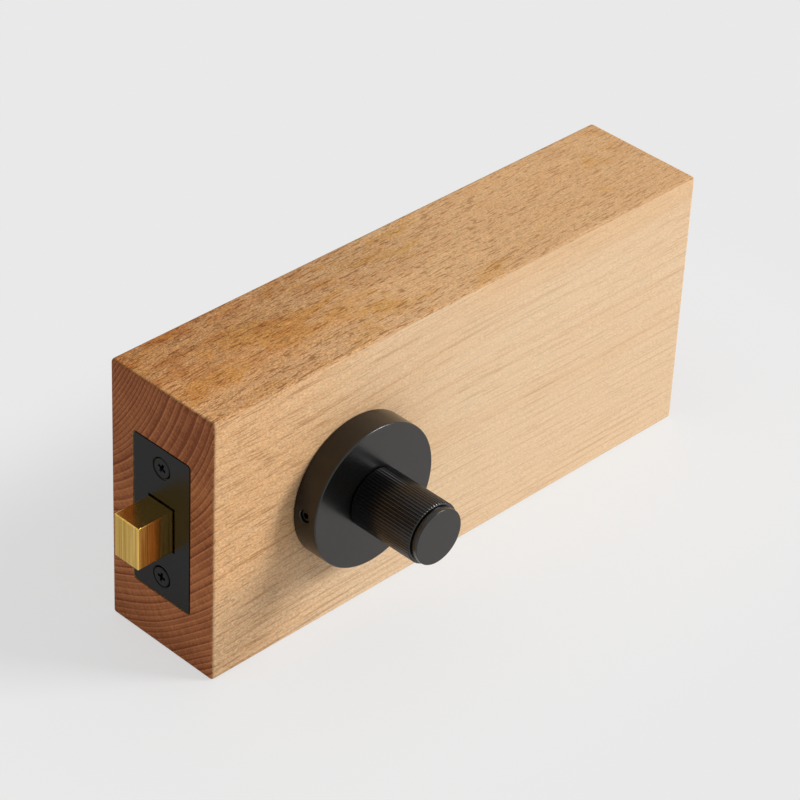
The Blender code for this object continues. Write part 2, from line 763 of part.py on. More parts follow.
def make_follower():
    """The cast hub on the spindle, with its journals in the case's sides and its crank arm and pin."""
    half_width = CASE_FLAT_WIDTH / 2
    hub_end = half_width - CASE_WALL - SEAT_GAP
    profile = [
        (0, half_width),
        (JOURNAL_RADIUS, half_width),
        (JOURNAL_RADIUS, hub_end),
        (HUB_RADIUS, hub_end),
        (HUB_RADIUS, -hub_end),
        (JOURNAL_RADIUS, -hub_end),
        (JOURNAL_RADIUS, -half_width),
        (0, -half_width),
    ]
    follower = turned("follower", profile, SHANK_STEPS, TURN_AXIS, ZINC)
    lean = math.asin((JOURNAL_RADIUS - CRANK_PIN_RADIUS) / CRANK_RADIUS)
    tip_arc = arc(CRANK_PIN_RADIUS, lean, math.pi - lean, 8, (0, CRANK_RADIUS))
    root_arc = arc(JOURNAL_RADIUS, math.pi - lean, 2 * math.pi + lean, 16)
    at_rest = (0, 0, TURN_ANGLE / 2)
    arm = plate("follower_arm", [tip_arc + root_arc], -ARM_END, -ARM_START, TURN_AXIS, rotation=at_rest)
    pin = plate(
        "follower_pin",
        [circle(CRANK_PIN_RADIUS, 16, (0, CRANK_RADIUS))],
        -ARM_START - ARM_THICKNESS / 2,
        ARM_START,
        TURN_AXIS,
        rotation=at_rest,
    )
    hole = square_hole("follower_hole", -CASE_FLAT_WIDTH, CASE_FLAT_WIDTH, TURN_AXIS)
    cut(join(follower, arm, pin), hole)


def make_spindle():
    """The square bar that joins the knob, the follower and the release."""
    half = SPINDLE_WIDTH / 2
    low, high = (-half, -half, -SPINDLE_REACH), (half, half, SPINDLE_REACH)
    box("spindle", low, high, TURN_AXIS, STEEL)


def make_rose(side, frame):
    """The fixed pieces on one face: base, its two screws, bush, washer, cover and grub screw."""
    base_profile = [
        (BASE_BORE_RADIUS, BOSS_TOP),
        (BASE_BOSS_RADIUS, BOSS_TOP),
        (BASE_BOSS_RADIUS, BASE_FLOOR_TOP),
        (BASE_RIM_INNER, BASE_FLOOR_TOP),
        (BASE_RIM_INNER, BASE_TOP),
        (BASE_RADIUS, BASE_TOP),
        (BASE_RADIUS, SEAT_GAP),
        (SPIGOT_RADIUS, SEAT_GAP),
        (SPIGOT_RADIUS, -BASE_SPIGOT_DEPTH),
        (BASE_BORE_RADIUS, -BASE_SPIGOT_DEPTH),
    ]
    base = turned(f"{side}_rose_base", base_profile, BASE_STEPS, frame, ZINC, ring=True)
    for label, height in pair(BASE_SCREW_REACH).items():
        place = {"location": (0, height, BASE_FLOOR_TOP)}
        depth = BASE_FLOOR + OVERCUT
        hole = countersink(
            f"{side}_base_{label}_hole", BASE_SCREW_HEAD_RADIUS, BASE_SCREW_RADIUS, depth, frame, **place
        )
        cut(base, hole)
        countersunk_screw(
            f"{side}_base_screw_{label}",
            BASE_SCREW_HEAD_RADIUS,
            BASE_SCREW_RADIUS,
            BASE_SCREW_LENGTH,
            0,
            frame,
            STEEL,
            **place,
        )
    bush_profile = [
        (BUSH_INNER_RADIUS, BUSH_TOP),
        (BUSH_RADIUS + BUSH_FLANGE_WIDTH, BUSH_TOP),
        (BUSH_RADIUS + BUSH_FLANGE_WIDTH, BUSH_TOP - BUSH_FLANGE_THICKNESS),
        (BUSH_RADIUS, BUSH_TOP - BUSH_FLANGE_THICKNESS),
        (BUSH_RADIUS, -BASE_SPIGOT_DEPTH),
        (BUSH_INNER_RADIUS, -BASE_SPIGOT_DEPTH),
    ]
    turned(f"{side}_bush", bush_profile, SHANK_STEPS, frame, NYLON, ring=True)
    washer_bottom = WASHER_TOP - WASHER_THICKNESS
    washer_profile = [
        (BUSH_INNER_RADIUS, WASHER_TOP),
        (SPIGOT_RADIUS - SEAT_GAP, WASHER_TOP),
        (SPIGOT_RADIUS - SEAT_GAP, washer_bottom),
        (BUSH_INNER_RADIUS, washer_bottom),
    ]
    turned(f"{side}_washer", washer_profile, SHANK_STEPS, frame, STEEL, ring=True)
    make_rose_cover(side, frame, base)


def make_rose_cover(side, frame, base):
    """The cover, and the grub screw that runs in its wall and bears in a dimple of the base's rim."""
    edge = round_edge(ROSE_EDGE_RADIUS, ROSE_RADIUS, ROSE_HEIGHT)
    inner_wall = ROSE_RADIUS - ROSE_WALL
    cover_profile = [
        (COVER_HOLE_RADIUS, ROSE_HEIGHT),
        *edge,
        (ROSE_RADIUS, SEAT_GAP),
        (inner_wall, SEAT_GAP),
        (inner_wall, COVER_UNDERSIDE),
        (COVER_HOLE_RADIUS, COVER_UNDERSIDE),
    ]
    cover = turned(f"{side}_rose_cover", cover_profile, ROSE_STEPS, frame, BLACK, ring=True)
    grub_outer = ROSE_RADIUS - GRUB_SUNK
    grub_inner = grub_outer - GRUB_LENGTH
    aim = {"along": "X", "location": (0, 0, ROSE_HEIGHT / 2), "rotation": (0, 0, GRUB_ANGLE)}
    hole = cylinder(
        f"{side}_grub_hole",
        GRUB_RADIUS + SLIP_GAP,
        grub_inner - SEAT_GAP,
        ROSE_RADIUS + OVERCUT,
        SMALL_STEPS,
        frame,
        **aim,
    )
    cut(cover, hole)
    cut(base, hole)
    grub_name = f"{side}_grub_screw"
    grub = cylinder(grub_name, GRUB_RADIUS, grub_inner, grub_outer, SMALL_STEPS, frame, BLACK, **aim)
    socket = cylinder(
        f"{side}_grub_socket",
        GRUB_SOCKET_RADIUS,
        (grub_inner + grub_outer) / 2,
        grub_outer + OVERCUT,
        6,
        frame,
        **aim,
    )
    cut(grub, socket)


def shank_profile():
    """The journal in the bush, its circlip groove and its inner end, shared by the knob and the release."""
    return [
        (SHANK_RADIUS, GROOVE_TOP),
        (GROOVE_RADIUS, GROOVE_TOP),
        (GROOVE_RADIUS, GROOVE_BOTTOM),
        (SHANK_RADIUS, GROOVE_BOTTOM),
        (SHANK_RADIUS, SHANK_END),
        (0, SHANK_END),
    ]


def knurl_outline():
    """The flat crests and roots that the knurling wheel leaves, with straight flanks between them."""
    pitch = 2 * math.pi / KNURL_COUNT
    half_crest = pitch * KNURL_CREST_SHARE / 2
    half_root = pitch * KNURL_ROOT_SHARE / 2
    outline = []
    for number in range(KNURL_COUNT):
        crest = (number + 0.5) * pitch
        root = (number + 1) * pitch
        corners = (
            (KNOB_RADIUS, crest - half_crest),
            (KNOB_RADIUS, crest + half_crest),
            (KNOB_RADIUS - KNURL_DEPTH, root - half_root),
            (KNOB_RADIUS - KNURL_DEPTH, root + half_root),
        )
        outline += [(radius * math.cos(a), radius * math.sin(a)) for radius, a in corners]
    return outline


def make_knob(place):
    """The turned knob with its shank. A ring-shaped cutter leaves the knurl between the two chamfers."""
    blank_radius = KNOB_RADIUS + KNURL_DEPTH / 4
    chamfer = KNOB_END_CHAMFER
    bore_radius = CAP_SPIGOT_RADIUS + SLIP_GAP
    bore_bottom = CAP_SPIGOT_END - SEAT_GAP
    profile = [
        (0, bore_bottom),
        (bore_radius, bore_bottom),
        (bore_radius, KNOB_END),
        (blank_radius - chamfer, KNOB_END),
        (blank_radius, KNOB_END - chamfer),
        (blank_radius, KNOB_START + chamfer / 2),
        (blank_radius - chamfer / 2, KNOB_START),
        (SHANK_RADIUS, KNOB_START),
        *shank_profile(),
    ]
    knob = turned("knob", profile, KNURL_COUNT, TURN_AXIS, BLACK, **place)
    knurl = plate(
        "knurl_cutter",
        [circle(KNOB_RADIUS + OVERCUT, KNURL_COUNT), knurl_outline()],
        KNOB_START - OVERCUT / 10,
        KNOB_END + OVERCUT,
        TURN_AXIS,
        **place,
    )
    hole = square_hole("knob_hole", SHANK_END - OVERCUT, SQUARE_HOLE_END, TURN_AXIS, **place)
    cut(knob, knurl, hole)


def make_knob_end_cap(place):
    profile = [
        (0, CAP_END),
        *round_edge(CAP_EDGE_RADIUS, CAP_RADIUS, CAP_END),
        (CAP_RADIUS, CAP_START),
        (CAP_SPIGOT_RADIUS, CAP_START),
        (CAP_SPIGOT_RADIUS, CAP_SPIGOT_END),
        (0, CAP_SPIGOT_END),
    ]
    turned("knob_end_cap", profile, ROSE_STEPS, TURN_AXIS, BLACK, **place)


def make_release(place):
    """The coin-slotted turn on the far face, on the same shank as the knob."""
    profile = [
        (0, RELEASE_TOP),
        (RELEASE_RADIUS - RELEASE_EDGE, RELEASE_TOP),
        (RELEASE_RADIUS, RELEASE_TOP - RELEASE_EDGE),
        (RELEASE_RADIUS, COVER_UNDERSIDE),
        (SHANK_RADIUS, COVER_UNDERSIDE),
        *shank_profile(),
    ]
    release = turned("release_turn", profile, SHANK_STEPS, TURN_AXIS, BLACK, **place)
    half_width, half_length = COIN_SLOT_WIDTH / 2, COIN_SLOT_LENGTH / 2
    slot = box(
        "coin_slot",
        (-half_width, -half_length, RELEASE_TOP - COIN_SLOT_DEPTH),
        (half_width, half_length, RELEASE_TOP + OVERCUT),
        TURN_AXIS,
        **place,
    )
    hole = square_hole("release_hole", SHANK_END - OVERCUT, SQUARE_HOLE_END, TURN_AXIS, **place)
    cut(release, slot, hole)


def make_circlip(name, place):
    inner = GROOVE_RADIUS + SLIP_GAP
    half_opening = CIRCLIP_OPENING / 2
    around = 2 * math.pi - half_opening
    outer_arc = arc(inner + CIRCLIP_WIDTH, half_opening, around, SMALL_STEPS)
    outline = outer_arc + arc(inner, around, half_opening, SMALL_STEPS)
    plate(name, [outline], CIRCLIP_TOP - CIRCLIP_THICKNESS, CIRCLIP_TOP, TURN_AXIS, STEEL, **place)


def shade_parts():
    """Smooth shading in which the larger faces stay flat, because each normal leans to the larger face."""
    for part in PARTS.objects:
        if part.type == "MESH":
            part.data.shade_smooth()
            part.modifiers.new("weighted normals", "WEIGHTED_NORMAL")


def main():
    make_block()
    make_forend()
    make_case()
    make_bolt()
    make_follower()
    make_spindle()
    make_rose("front", FRONT_FACE)
    make_rose("back", BACK_FACE)
    front_place = {"location": (0, 0, BLOCK_THICKNESS / 2)}
    back_place = {"location": (0, 0, -BLOCK_THICKNESS / 2), "rotation": FORWARD_TO_BACK}
    make_knob(front_place)
    make_knob_end_cap(front_place)
    make_circlip("front_circlip", front_place)
    make_release(back_place)
    make_circlip("back_circlip", back_place)
    shade_parts()


main()
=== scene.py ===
# %% [markdown]
# # A knurled thumb turn on a beech sample block
#
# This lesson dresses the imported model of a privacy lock: a black knurled knob on a round rose, a
# brass bolt in a black forend, and the block of beech that shows them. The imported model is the
# frame. It gives each piece its place and size, and this script gives each piece its form and finish.

# %% Load the frame
import json
import math
from contextlib import contextmanager

import bmesh
import bpy
from mathutils import Matrix, Vector


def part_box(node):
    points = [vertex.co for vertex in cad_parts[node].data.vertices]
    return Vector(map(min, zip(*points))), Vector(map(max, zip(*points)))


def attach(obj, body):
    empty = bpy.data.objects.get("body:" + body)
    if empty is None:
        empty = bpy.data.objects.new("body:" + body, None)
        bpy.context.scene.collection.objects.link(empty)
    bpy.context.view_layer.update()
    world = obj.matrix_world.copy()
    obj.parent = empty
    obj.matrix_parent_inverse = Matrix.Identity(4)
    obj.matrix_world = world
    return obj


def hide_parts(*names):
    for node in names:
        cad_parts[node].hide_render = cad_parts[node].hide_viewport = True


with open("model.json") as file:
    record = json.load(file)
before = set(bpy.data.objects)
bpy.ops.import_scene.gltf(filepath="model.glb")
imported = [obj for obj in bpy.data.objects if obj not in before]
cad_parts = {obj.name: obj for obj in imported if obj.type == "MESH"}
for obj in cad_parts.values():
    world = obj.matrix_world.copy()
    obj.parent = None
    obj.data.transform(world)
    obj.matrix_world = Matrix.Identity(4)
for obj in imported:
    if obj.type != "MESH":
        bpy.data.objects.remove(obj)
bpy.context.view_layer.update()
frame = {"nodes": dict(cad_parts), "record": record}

# %% [markdown]
# ## The camera
#
# The block is seen from its bolt end, from above and from far away with a long lens, so its edges
# stay nearly parallel. The camera is leaned a little to one side, as a hand-held one is. A view
# direction is easier to read as an azimuth and an elevation than as three Euler angles, so the
# turn is built from those: up from the floor, round the object, then the lean about the lens.

# %% Camera
CAMERA_PLACE = Vector((-0.6552, -0.6222, 0.6772))
CAMERA_AZIMUTH = math.radians(-46.27)
CAMERA_ELEVATION = math.radians(34.96)
CAMERA_LEAN = math.radians(2.79)
CAMERA_LENS = 148.71
SENSOR_WIDTH = 36

bpy.ops.object.select_all(action="DESELECT")
bpy.ops.object.camera_add()
camera = bpy.context.object
camera.name = "view_from_the_bolt_end"
camera.matrix_world = (
    Matrix.Translation(CAMERA_PLACE)
    @ Matrix.Rotation(CAMERA_AZIMUTH, 4, "Z")
    @ Matrix.Rotation(math.pi / 2 - CAMERA_ELEVATION, 4, "X")
    @ Matrix.Rotation(CAMERA_LEAN, 4, "Z")
)
camera.data.lens = CAMERA_LENS
camera.data.sensor_width = SENSOR_WIDTH
camera.data.clip_start = 0.01
bpy.context.scene.camera = camera
bpy.context.scene.view_settings.view_transform = "Standard"
print("camera", [round(value, 3) for value in camera.location])

# %% [markdown]
# ## Helpers for a node tree
#
# A material is a graph. Written out node by node it is long and hard to follow, so a few helpers
# stand for the nodes that are used most: one feeds a socket with a number or a link, the others add
# a Math, Noise, Map Range, Vector Math or Mix node and give back its output.

# %% Node helpers
def feed(tree, socket, term):
    """Links the socket to the term, or sets it if the term is a plain value."""
    if isinstance(term, bpy.types.NodeSocket):
        tree.links.new(term, socket)
    elif isinstance(term, (tuple, list)) and socket.type == "RGBA":
        socket.default_value = (*term[:3], 1)
    else:
        socket.default_value = term


def add_node(tree, kind, inputs=None, **settings):
    """A node of this kind, with its settings and the terms for its input sockets."""
    made = tree.nodes.new(kind)
    for name, value in settings.items():
        setattr(made, name, value)
    for name, term in (inputs or {}).items():
        feed(tree, made.inputs[name], term)
    return made


def compute(tree, operation, *terms):
    """A Math node on sockets or plain numbers."""
    made = add_node(tree, "ShaderNodeMath", operation=operation)
    for socket, term in zip(made.inputs, terms):
        feed(tree, socket, term)
    return made.outputs[0]


def times(tree, first, second):
    return compute(tree, "MULTIPLY", first, second)


def noise(tree, vector, scale=1, detail=2, roughness=0.5, distortion=0):
    """A noise value from 0 to 1, about 0.5 on average."""
    inputs = {
        "Vector": vector, "Scale": scale, "Detail": detail, "Roughness": roughness, "Distortion": distortion
    }
    return add_node(tree, "ShaderNodeTexNoise", inputs).outputs["Fac"]


def remap(tree, value, low, high, to_low=0.0, to_high=1.0, kind="SMOOTHSTEP"):
    """The value's way from low to high, as a way from to_low to to_high that stops at both ends."""
    inputs = {"Value": value, "From Min": low, "From Max": high, "To Min": to_low, "To Max": to_high}
    return add_node(tree, "ShaderNodeMapRange", inputs, interpolation_type=kind).outputs["Result"]


def stretch(tree, vector, scale):
    """The vector with each of its axes multiplied, which sets a pattern's size along each."""
    inputs = {0: vector, 1: scale}
    return add_node(tree, "ShaderNodeVectorMath", inputs, operation="MULTIPLY").outputs[0]


def scaled(tree, vector, factor):
    """The vector or colour with all of its parts multiplied by one number."""
    inputs = {0: vector, "Scale": factor}
    return add_node(tree, "ShaderNodeVectorMath", inputs, operation="SCALE").outputs[0]


def blend(tree, factor, first, second, kind="MIX"):
    """A Mix node for colours."""
    made = add_node(tree, "ShaderNodeMix", data_type="RGBA", blend_type=kind)
    for index, term in ((0, factor), (6, first), (7, second)):
        feed(tree, made.inputs[index], term)
    return made.outputs[2]


def new_material(name, **constants):
    """A material with one Principled shader, whose plain values are set on its own sockets."""
    material = bpy.data.materials.new(name)
    material.use_nodes = True
    tree = material.node_tree
    shader = tree.nodes["Principled BSDF"]
    for label, value in constants.items():
        shader.inputs[label.replace("_", " ")].default_value = value
    return material, tree, shader


def object_place(tree):
    return add_node(tree, "ShaderNodeTexCoord").outputs["Object"]


# %% [markdown]
# ## Floor and light
#
# The block stands on a seamless pale sweep. One large softbox stands to the right and in front: it
# lights the long face, leaves the bolt end in its own shade and throws the soft shadow of the rose
# and knob to the lower left. The rest is the even light of a white room. The floor shows part of
# its shade only near the block, and none farther off, as a paper sweep does that is lit from below
# as well. So the Light Path node mixes a plain pale tone into what the camera sees of it, and adds a
# little glow to what a reflection sees.

# %% Floor
PALE_TONE = (0.815, 0.815, 0.815)
FLOOR_COLOUR = (0.885, 0.895, 0.905)
FLOOR_SIZE = 14
NEAR_TONE_SHARE = 0.66
NEAR_TONE_LIFT = 1.062
SHADOW_REACH = (0.045, 0.120)
BLOCK_HALF_LENGTH = 0.110
BLOCK_HALF_WIDTH = 0.024
MIRRORED_GLOW = 0.15


def seen_as(tree, seen, mirrored):
    """One value for what the camera looks at, one for what a reflection looks at, else 0."""
    path = add_node(tree, "ShaderNodeLightPath").outputs
    clear = compute(tree, "MAXIMUM", path["Is Camera Ray"], path["Is Transmission Ray"])
    clear = times(tree, clear, seen)
    return compute(tree, "MULTIPLY_ADD", path["Is Glossy Ray"], mirrored, clear)


bpy.ops.object.select_all(action="DESELECT")
bpy.ops.mesh.primitive_plane_add(size=FLOOR_SIZE)
floor = bpy.context.object
floor.name = "pale_floor"
material, tree, shader = new_material("pale_sweep", Roughness=0.9)
feed(tree, shader.inputs["Base Color"], FLOOR_COLOUR)
shader.inputs["Specular IOR Level"].default_value = 0.1
tone = add_node(tree, "ShaderNodeEmission", {"Color": PALE_TONE})
feed(tree, shader.inputs["Emission Color"], PALE_TONE)
feed(tree, shader.inputs["Emission Strength"], seen_as(tree, 0.0, MIRRORED_GLOW))
place = add_node(tree, "ShaderNodeSeparateXYZ", {0: object_place(tree)}).outputs
gaps = [
    compute(tree, "MAXIMUM", compute(tree, "SUBTRACT", compute(tree, "ABSOLUTE", place[axis]), half), 0)
    for axis, half in (("X", BLOCK_HALF_LENGTH), ("Y", BLOCK_HALF_WIDTH))
]
squares = compute(tree, "MULTIPLY_ADD", gaps[0], gaps[0], compute(tree, "POWER", gaps[1], 2))
gap = compute(tree, "SQRT", squares)
feed(tree, tone.inputs["Strength"], remap(tree, gap, *SHADOW_REACH, NEAR_TONE_LIFT, 1.0))
share = seen_as(tree, remap(tree, gap, *SHADOW_REACH, NEAR_TONE_SHARE, 1.0), 0.0)
mixed = add_node(tree, "ShaderNodeMixShader", {0: share, 1: shader.outputs[0], 2: tone.outputs[0]})
tree.links.new(mixed.outputs[0], tree.nodes["Material Output"].inputs["Surface"])
floor.data.materials.append(material)
print("floor", FLOOR_SIZE, "m")

# %% Lamps
ROOM_LIGHT = 0.42
SOFTBOX_FROM = Vector((0.62, -0.62, 0.47))
SOFTBOX_DISTANCE = 4.0
SOFTBOX_SIZE = 1.4
SOFTBOX_POWER = 142
SOFTBOX_COLOUR = (1.0, 0.985, 0.965)
LOCK_MIDDLE = Vector((0, 0, 0.05))

world = bpy.data.worlds.new("white_room")
bpy.context.scene.world = world
world.use_nodes = True
tree = world.node_tree
level = compute(tree, "MULTIPLY_ADD", seen_as(tree, 1.0, 1.0), PALE_TONE[0] - ROOM_LIGHT, ROOM_LIGHT)
feed(tree, tree.nodes["Background"].inputs["Strength"], level)
feed(tree, tree.nodes["Background"].inputs["Color"], (1, 1, 1))

bpy.ops.object.select_all(action="DESELECT")
bpy.ops.object.light_add(type="AREA", location=LOCK_MIDDLE + SOFTBOX_FROM.normalized() * SOFTBOX_DISTANCE)
softbox = bpy.context.object
softbox.name = "softbox"
softbox.rotation_euler = SOFTBOX_FROM.to_track_quat("Z", "Y").to_euler()
softbox.data.shape = "SQUARE"
softbox.data.size = SOFTBOX_SIZE
softbox.data.energy = SOFTBOX_POWER
softbox.data.color = SOFTBOX_COLOUR
print("softbox", [round(value, 2) for value in softbox.location])

# %% [markdown]
# ## Helpers for modelling
#
# Each piece starts as a primitive at its place and size. Its place then goes into its mesh, so the
# object itself stays at the origin, unturned. After that the mesh is shaped in edit mode. By hand a
# modeller clicks on faces and edges. Here `pick` finds them by where they are and which way they
# face. `carve` cuts one solid with another and throws the cutter away.

# %% Modelling helpers
NEAR = 1e-6


def settled(name):
    """Names the primitive just added, and moves its place, turn and size into its mesh."""
    piece = bpy.context.object
    piece.name = name
    bpy.ops.object.transform_apply(location=True, rotation=True, scale=True)
    return piece


def new_box(name, low, high):
    low, high = Vector(low), Vector(high)
    bpy.ops.object.select_all(action="DESELECT")
    bpy.ops.mesh.primitive_cube_add(size=1, location=(low + high) / 2, scale=high - low)
    return settled(name)


def new_round(name, start, end, radius, end_radius=None, sides=96):
    """A cylinder from one point to another, or a cone if its end has a radius of its own."""
    start, end = Vector(start), Vector(end)
    bpy.ops.object.select_all(action="DESELECT")
    bpy.ops.mesh.primitive_cone_add(
        vertices=sides,
        radius1=radius,
        radius2=radius if end_radius is None else end_radius,
        depth=(end - start).length,
        location=(start + end) / 2,
        rotation=(end - start).to_track_quat("Z", "Y").to_euler(),
    )
    return settled(name)


@contextmanager
def editing(piece):
    """Edit mode on this piece alone."""
    bpy.ops.object.select_all(action="DESELECT")
    piece.select_set(True)
    bpy.context.view_layer.objects.active = piece
    bpy.ops.object.mode_set(mode="EDIT")
    yield
    bpy.ops.object.mode_set(mode="OBJECT")


def pick(piece, kind, wanted, facing=None, along=None, sharp=False):
    """Selects only the vertices, edges or faces whose points are all wanted, and says how many."""
    bpy.ops.mesh.select_mode(type=kind)
    bpy.ops.mesh.select_all(action="DESELECT")
    mesh = bmesh.from_edit_mesh(piece.data)
    mesh.normal_update()
    found = 0
    for element in {"VERT": mesh.verts, "EDGE": mesh.edges, "FACE": mesh.faces}[kind]:
        points = [element.co] if kind == "VERT" else [vertex.co for vertex in element.verts]
        if not all(wanted(point) for point in points):
            continue
        if facing is not None and element.normal.dot(Vector(facing)) < 0.99:
            continue
        if along is not None and abs((points[1] - points[0]).normalized().dot(Vector(along))) < 0.99:
            continue
        if sharp and (len(element.link_faces) < 2 or element.calc_face_angle() < math.radians(25)):
            continue
        element.select_set(True)
        found += 1
    mesh.select_flush_mode()
    bmesh.update_edit_mesh(piece.data)
    return found


def apply_modifier(piece, kind, **settings):
    modifier = piece.modifiers.new(kind.lower(), kind)
    for name, value in settings.items():
        setattr(modifier, name, value)
    bpy.context.view_layer.objects.active = piece
    bpy.ops.object.modifier_apply(modifier=modifier.name)


def carve(piece, cutter, operation="DIFFERENCE"):
    apply_modifier(piece, "BOOLEAN", object=cutter, operation=operation)
    bpy.data.objects.remove(cutter)


def finish_piece(piece, body, nodes, material, angle=32):
    """Smooth shading with clean flats, then the piece's body, the nodes it stands for and its finish."""
    bpy.ops.object.select_all(action="DESELECT")
    piece.select_set(True)
    bpy.context.view_layer.objects.active = piece
    bpy.ops.object.shade_smooth_by_angle(angle=math.radians(angle))
    apply_modifier(piece, "WEIGHTED_NORMAL", keep_sharp=True)
    piece.data.materials.clear()
    piece.data.materials.append(material)
    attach(piece, body)
    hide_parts(*nodes)
    print(piece.name, len(piece.data.vertices), "points, rides on", body)


# %% [markdown]
# ## Beech
#
# Beech is a pale, even wood. Its year rings show as thin darker lines, its rays and pores as short
# dark dashes along the grain. A picture of wood wrapped on a box would break at every edge, so the
# log itself is built instead: each point of the block knows how far it lies from the heart of the
# tree, and the three faces then cut the same rings in their own way. The heart lies behind and above
# the block and drifts slowly away along it, which gives arcs on the end and nearly level lines on the
# long face. Cut ends soak up oil and turn reddish brown. The top has oil stains, and hands have
# rubbed it paler along its front edge, most of all near the bolt.

# %% The log: where each point lies in the tree
HEART_Y = 0.074
HEART_Z = 0.125
HEART_SLOPE = 0.058
HEART_LEVEL_AFTER = 0.16
RING_WIDTH = 0.0022
CLOSE_RINGS = (0.056, 0.080, 0.0, 6.0)
WIDE_RINGS = (0.080, 0.100, 0.0, -3.4)
BLOCK_START_X = -0.11
WANDER_SIZE = (7, 20, 20)
WANDER_REACH = 0.006


def log_place(tree):
    """Place in the log, in metres: along it, and sideways from its heart, with a little wander."""
    here = add_node(tree, "ShaderNodeSeparateXYZ", {0: object_place(tree)}).outputs
    gone = compute(tree, "SUBTRACT", here["X"], BLOCK_START_X)
    gone = compute(tree, "MINIMUM", compute(tree, "MAXIMUM", gone, 0), HEART_LEVEL_AFTER)
    run = compute(tree, "MULTIPLY_ADD", gone, -HEART_SLOPE / (2 * HEART_LEVEL_AFTER), HEART_SLOPE)
    heart = compute(tree, "MULTIPLY_ADD", gone, run, HEART_Y)
    inputs = {
        "X": here["X"],
        "Y": compute(tree, "SUBTRACT", here["Y"], heart),
        "Z": compute(tree, "SUBTRACT", here["Z"], HEART_Z),
    }
    still = add_node(tree, "ShaderNodeCombineXYZ", inputs).outputs[0]
    inputs = {"Vector": stretch(tree, still, WANDER_SIZE), "Scale": 1.0, "Detail": 0.5}
    wander = add_node(tree, "ShaderNodeTexNoise", inputs).outputs["Color"]
    centred = add_node(
        tree, "ShaderNodeVectorMath", {0: wander, 1: (0.5, 0.5, 0.5)}, operation="SUBTRACT"
    ).outputs[0]
    moved = stretch(tree, centred, (0, WANDER_REACH, WANDER_REACH))
    return add_node(tree, "ShaderNodeVectorMath", {0: still, 1: moved}, operation="ADD").outputs[0]


def heart_distance(tree, log):
    """How far the point lies from the heart of the tree."""
    sideways = stretch(tree, log, (0, 1, 1))
    return add_node(tree, "ShaderNodeVectorMath", {0: sideways}, operation="LENGTH").outputs["Value"]


def year_rings(tree, distance):
    """Two masks: the dark late wood of each year, and the pale line where the next year starts."""
    spread = add_node(
        tree, "ShaderNodeTexNoise", {"W": distance, "Scale": 42.0, "Detail": 1.0}, noise_dimensions="1D"
    ).outputs["Fac"]
    years = compute(tree, "MULTIPLY_ADD", spread, 3.2, compute(tree, "DIVIDE", distance, RING_WIDTH))
    for share in (CLOSE_RINGS, WIDE_RINGS):
        years = compute(tree, "ADD", years, remap(tree, distance, *share, kind="LINEAR"))
    depth = add_node(
        tree, "ShaderNodeTexWhiteNoise", {"W": compute(tree, "FLOOR", years)}, noise_dimensions="1D"
    ).outputs["Value"]
    depth = remap(tree, depth, 0, 1, 0.35, 1.0, "LINEAR")
    part = compute(tree, "FRACT", years)
    late = compute(tree, "POWER", remap(tree, part, 0.30, 0.92), 2.0)
    late = times(tree, late, remap(tree, part, 0.92, 1.0, 1.0, 0.0))
    early = remap(tree, part, 0.0, 0.28, 1.0, 0.0)
    return times(tree, late, depth), early


# %% The beech material
SIDE_PALE = (0.680, 0.492, 0.312)
SIDE_TAN = (0.650, 0.375, 0.175)
SIDE_DARK = (0.42, 0.200, 0.080)
TOP_TINT = (0.95, 0.80, 0.625)
AMBER_TINT = (0.93, 0.825, 0.51)
RUST_TINT = (0.80, 0.62, 0.46)
END_PALE = (0.62, 0.235, 0.090)
END_DARK = (0.22, 0.062, 0.023)
PORE_TINT = (0.56, 0.45, 0.33)
PORE_DEPTH = 0.0001

# How often each pattern repeats in a metre: along the log or the block, then across it
STREAKS = (50, 1100, 1100)
FLECKS = (1100, 2700, 2700)
DASHES = (38, 1700, 1700)
PORES = (230, 1600, 1600)
CLOUDS = (14, 30, 30)
STAINS = (42, 95, 95)
RUST = (50, 110, 110)
END_CLOUDS = (60, 60, 60)
END_SPECKLES = (1100, 1100, 1100)


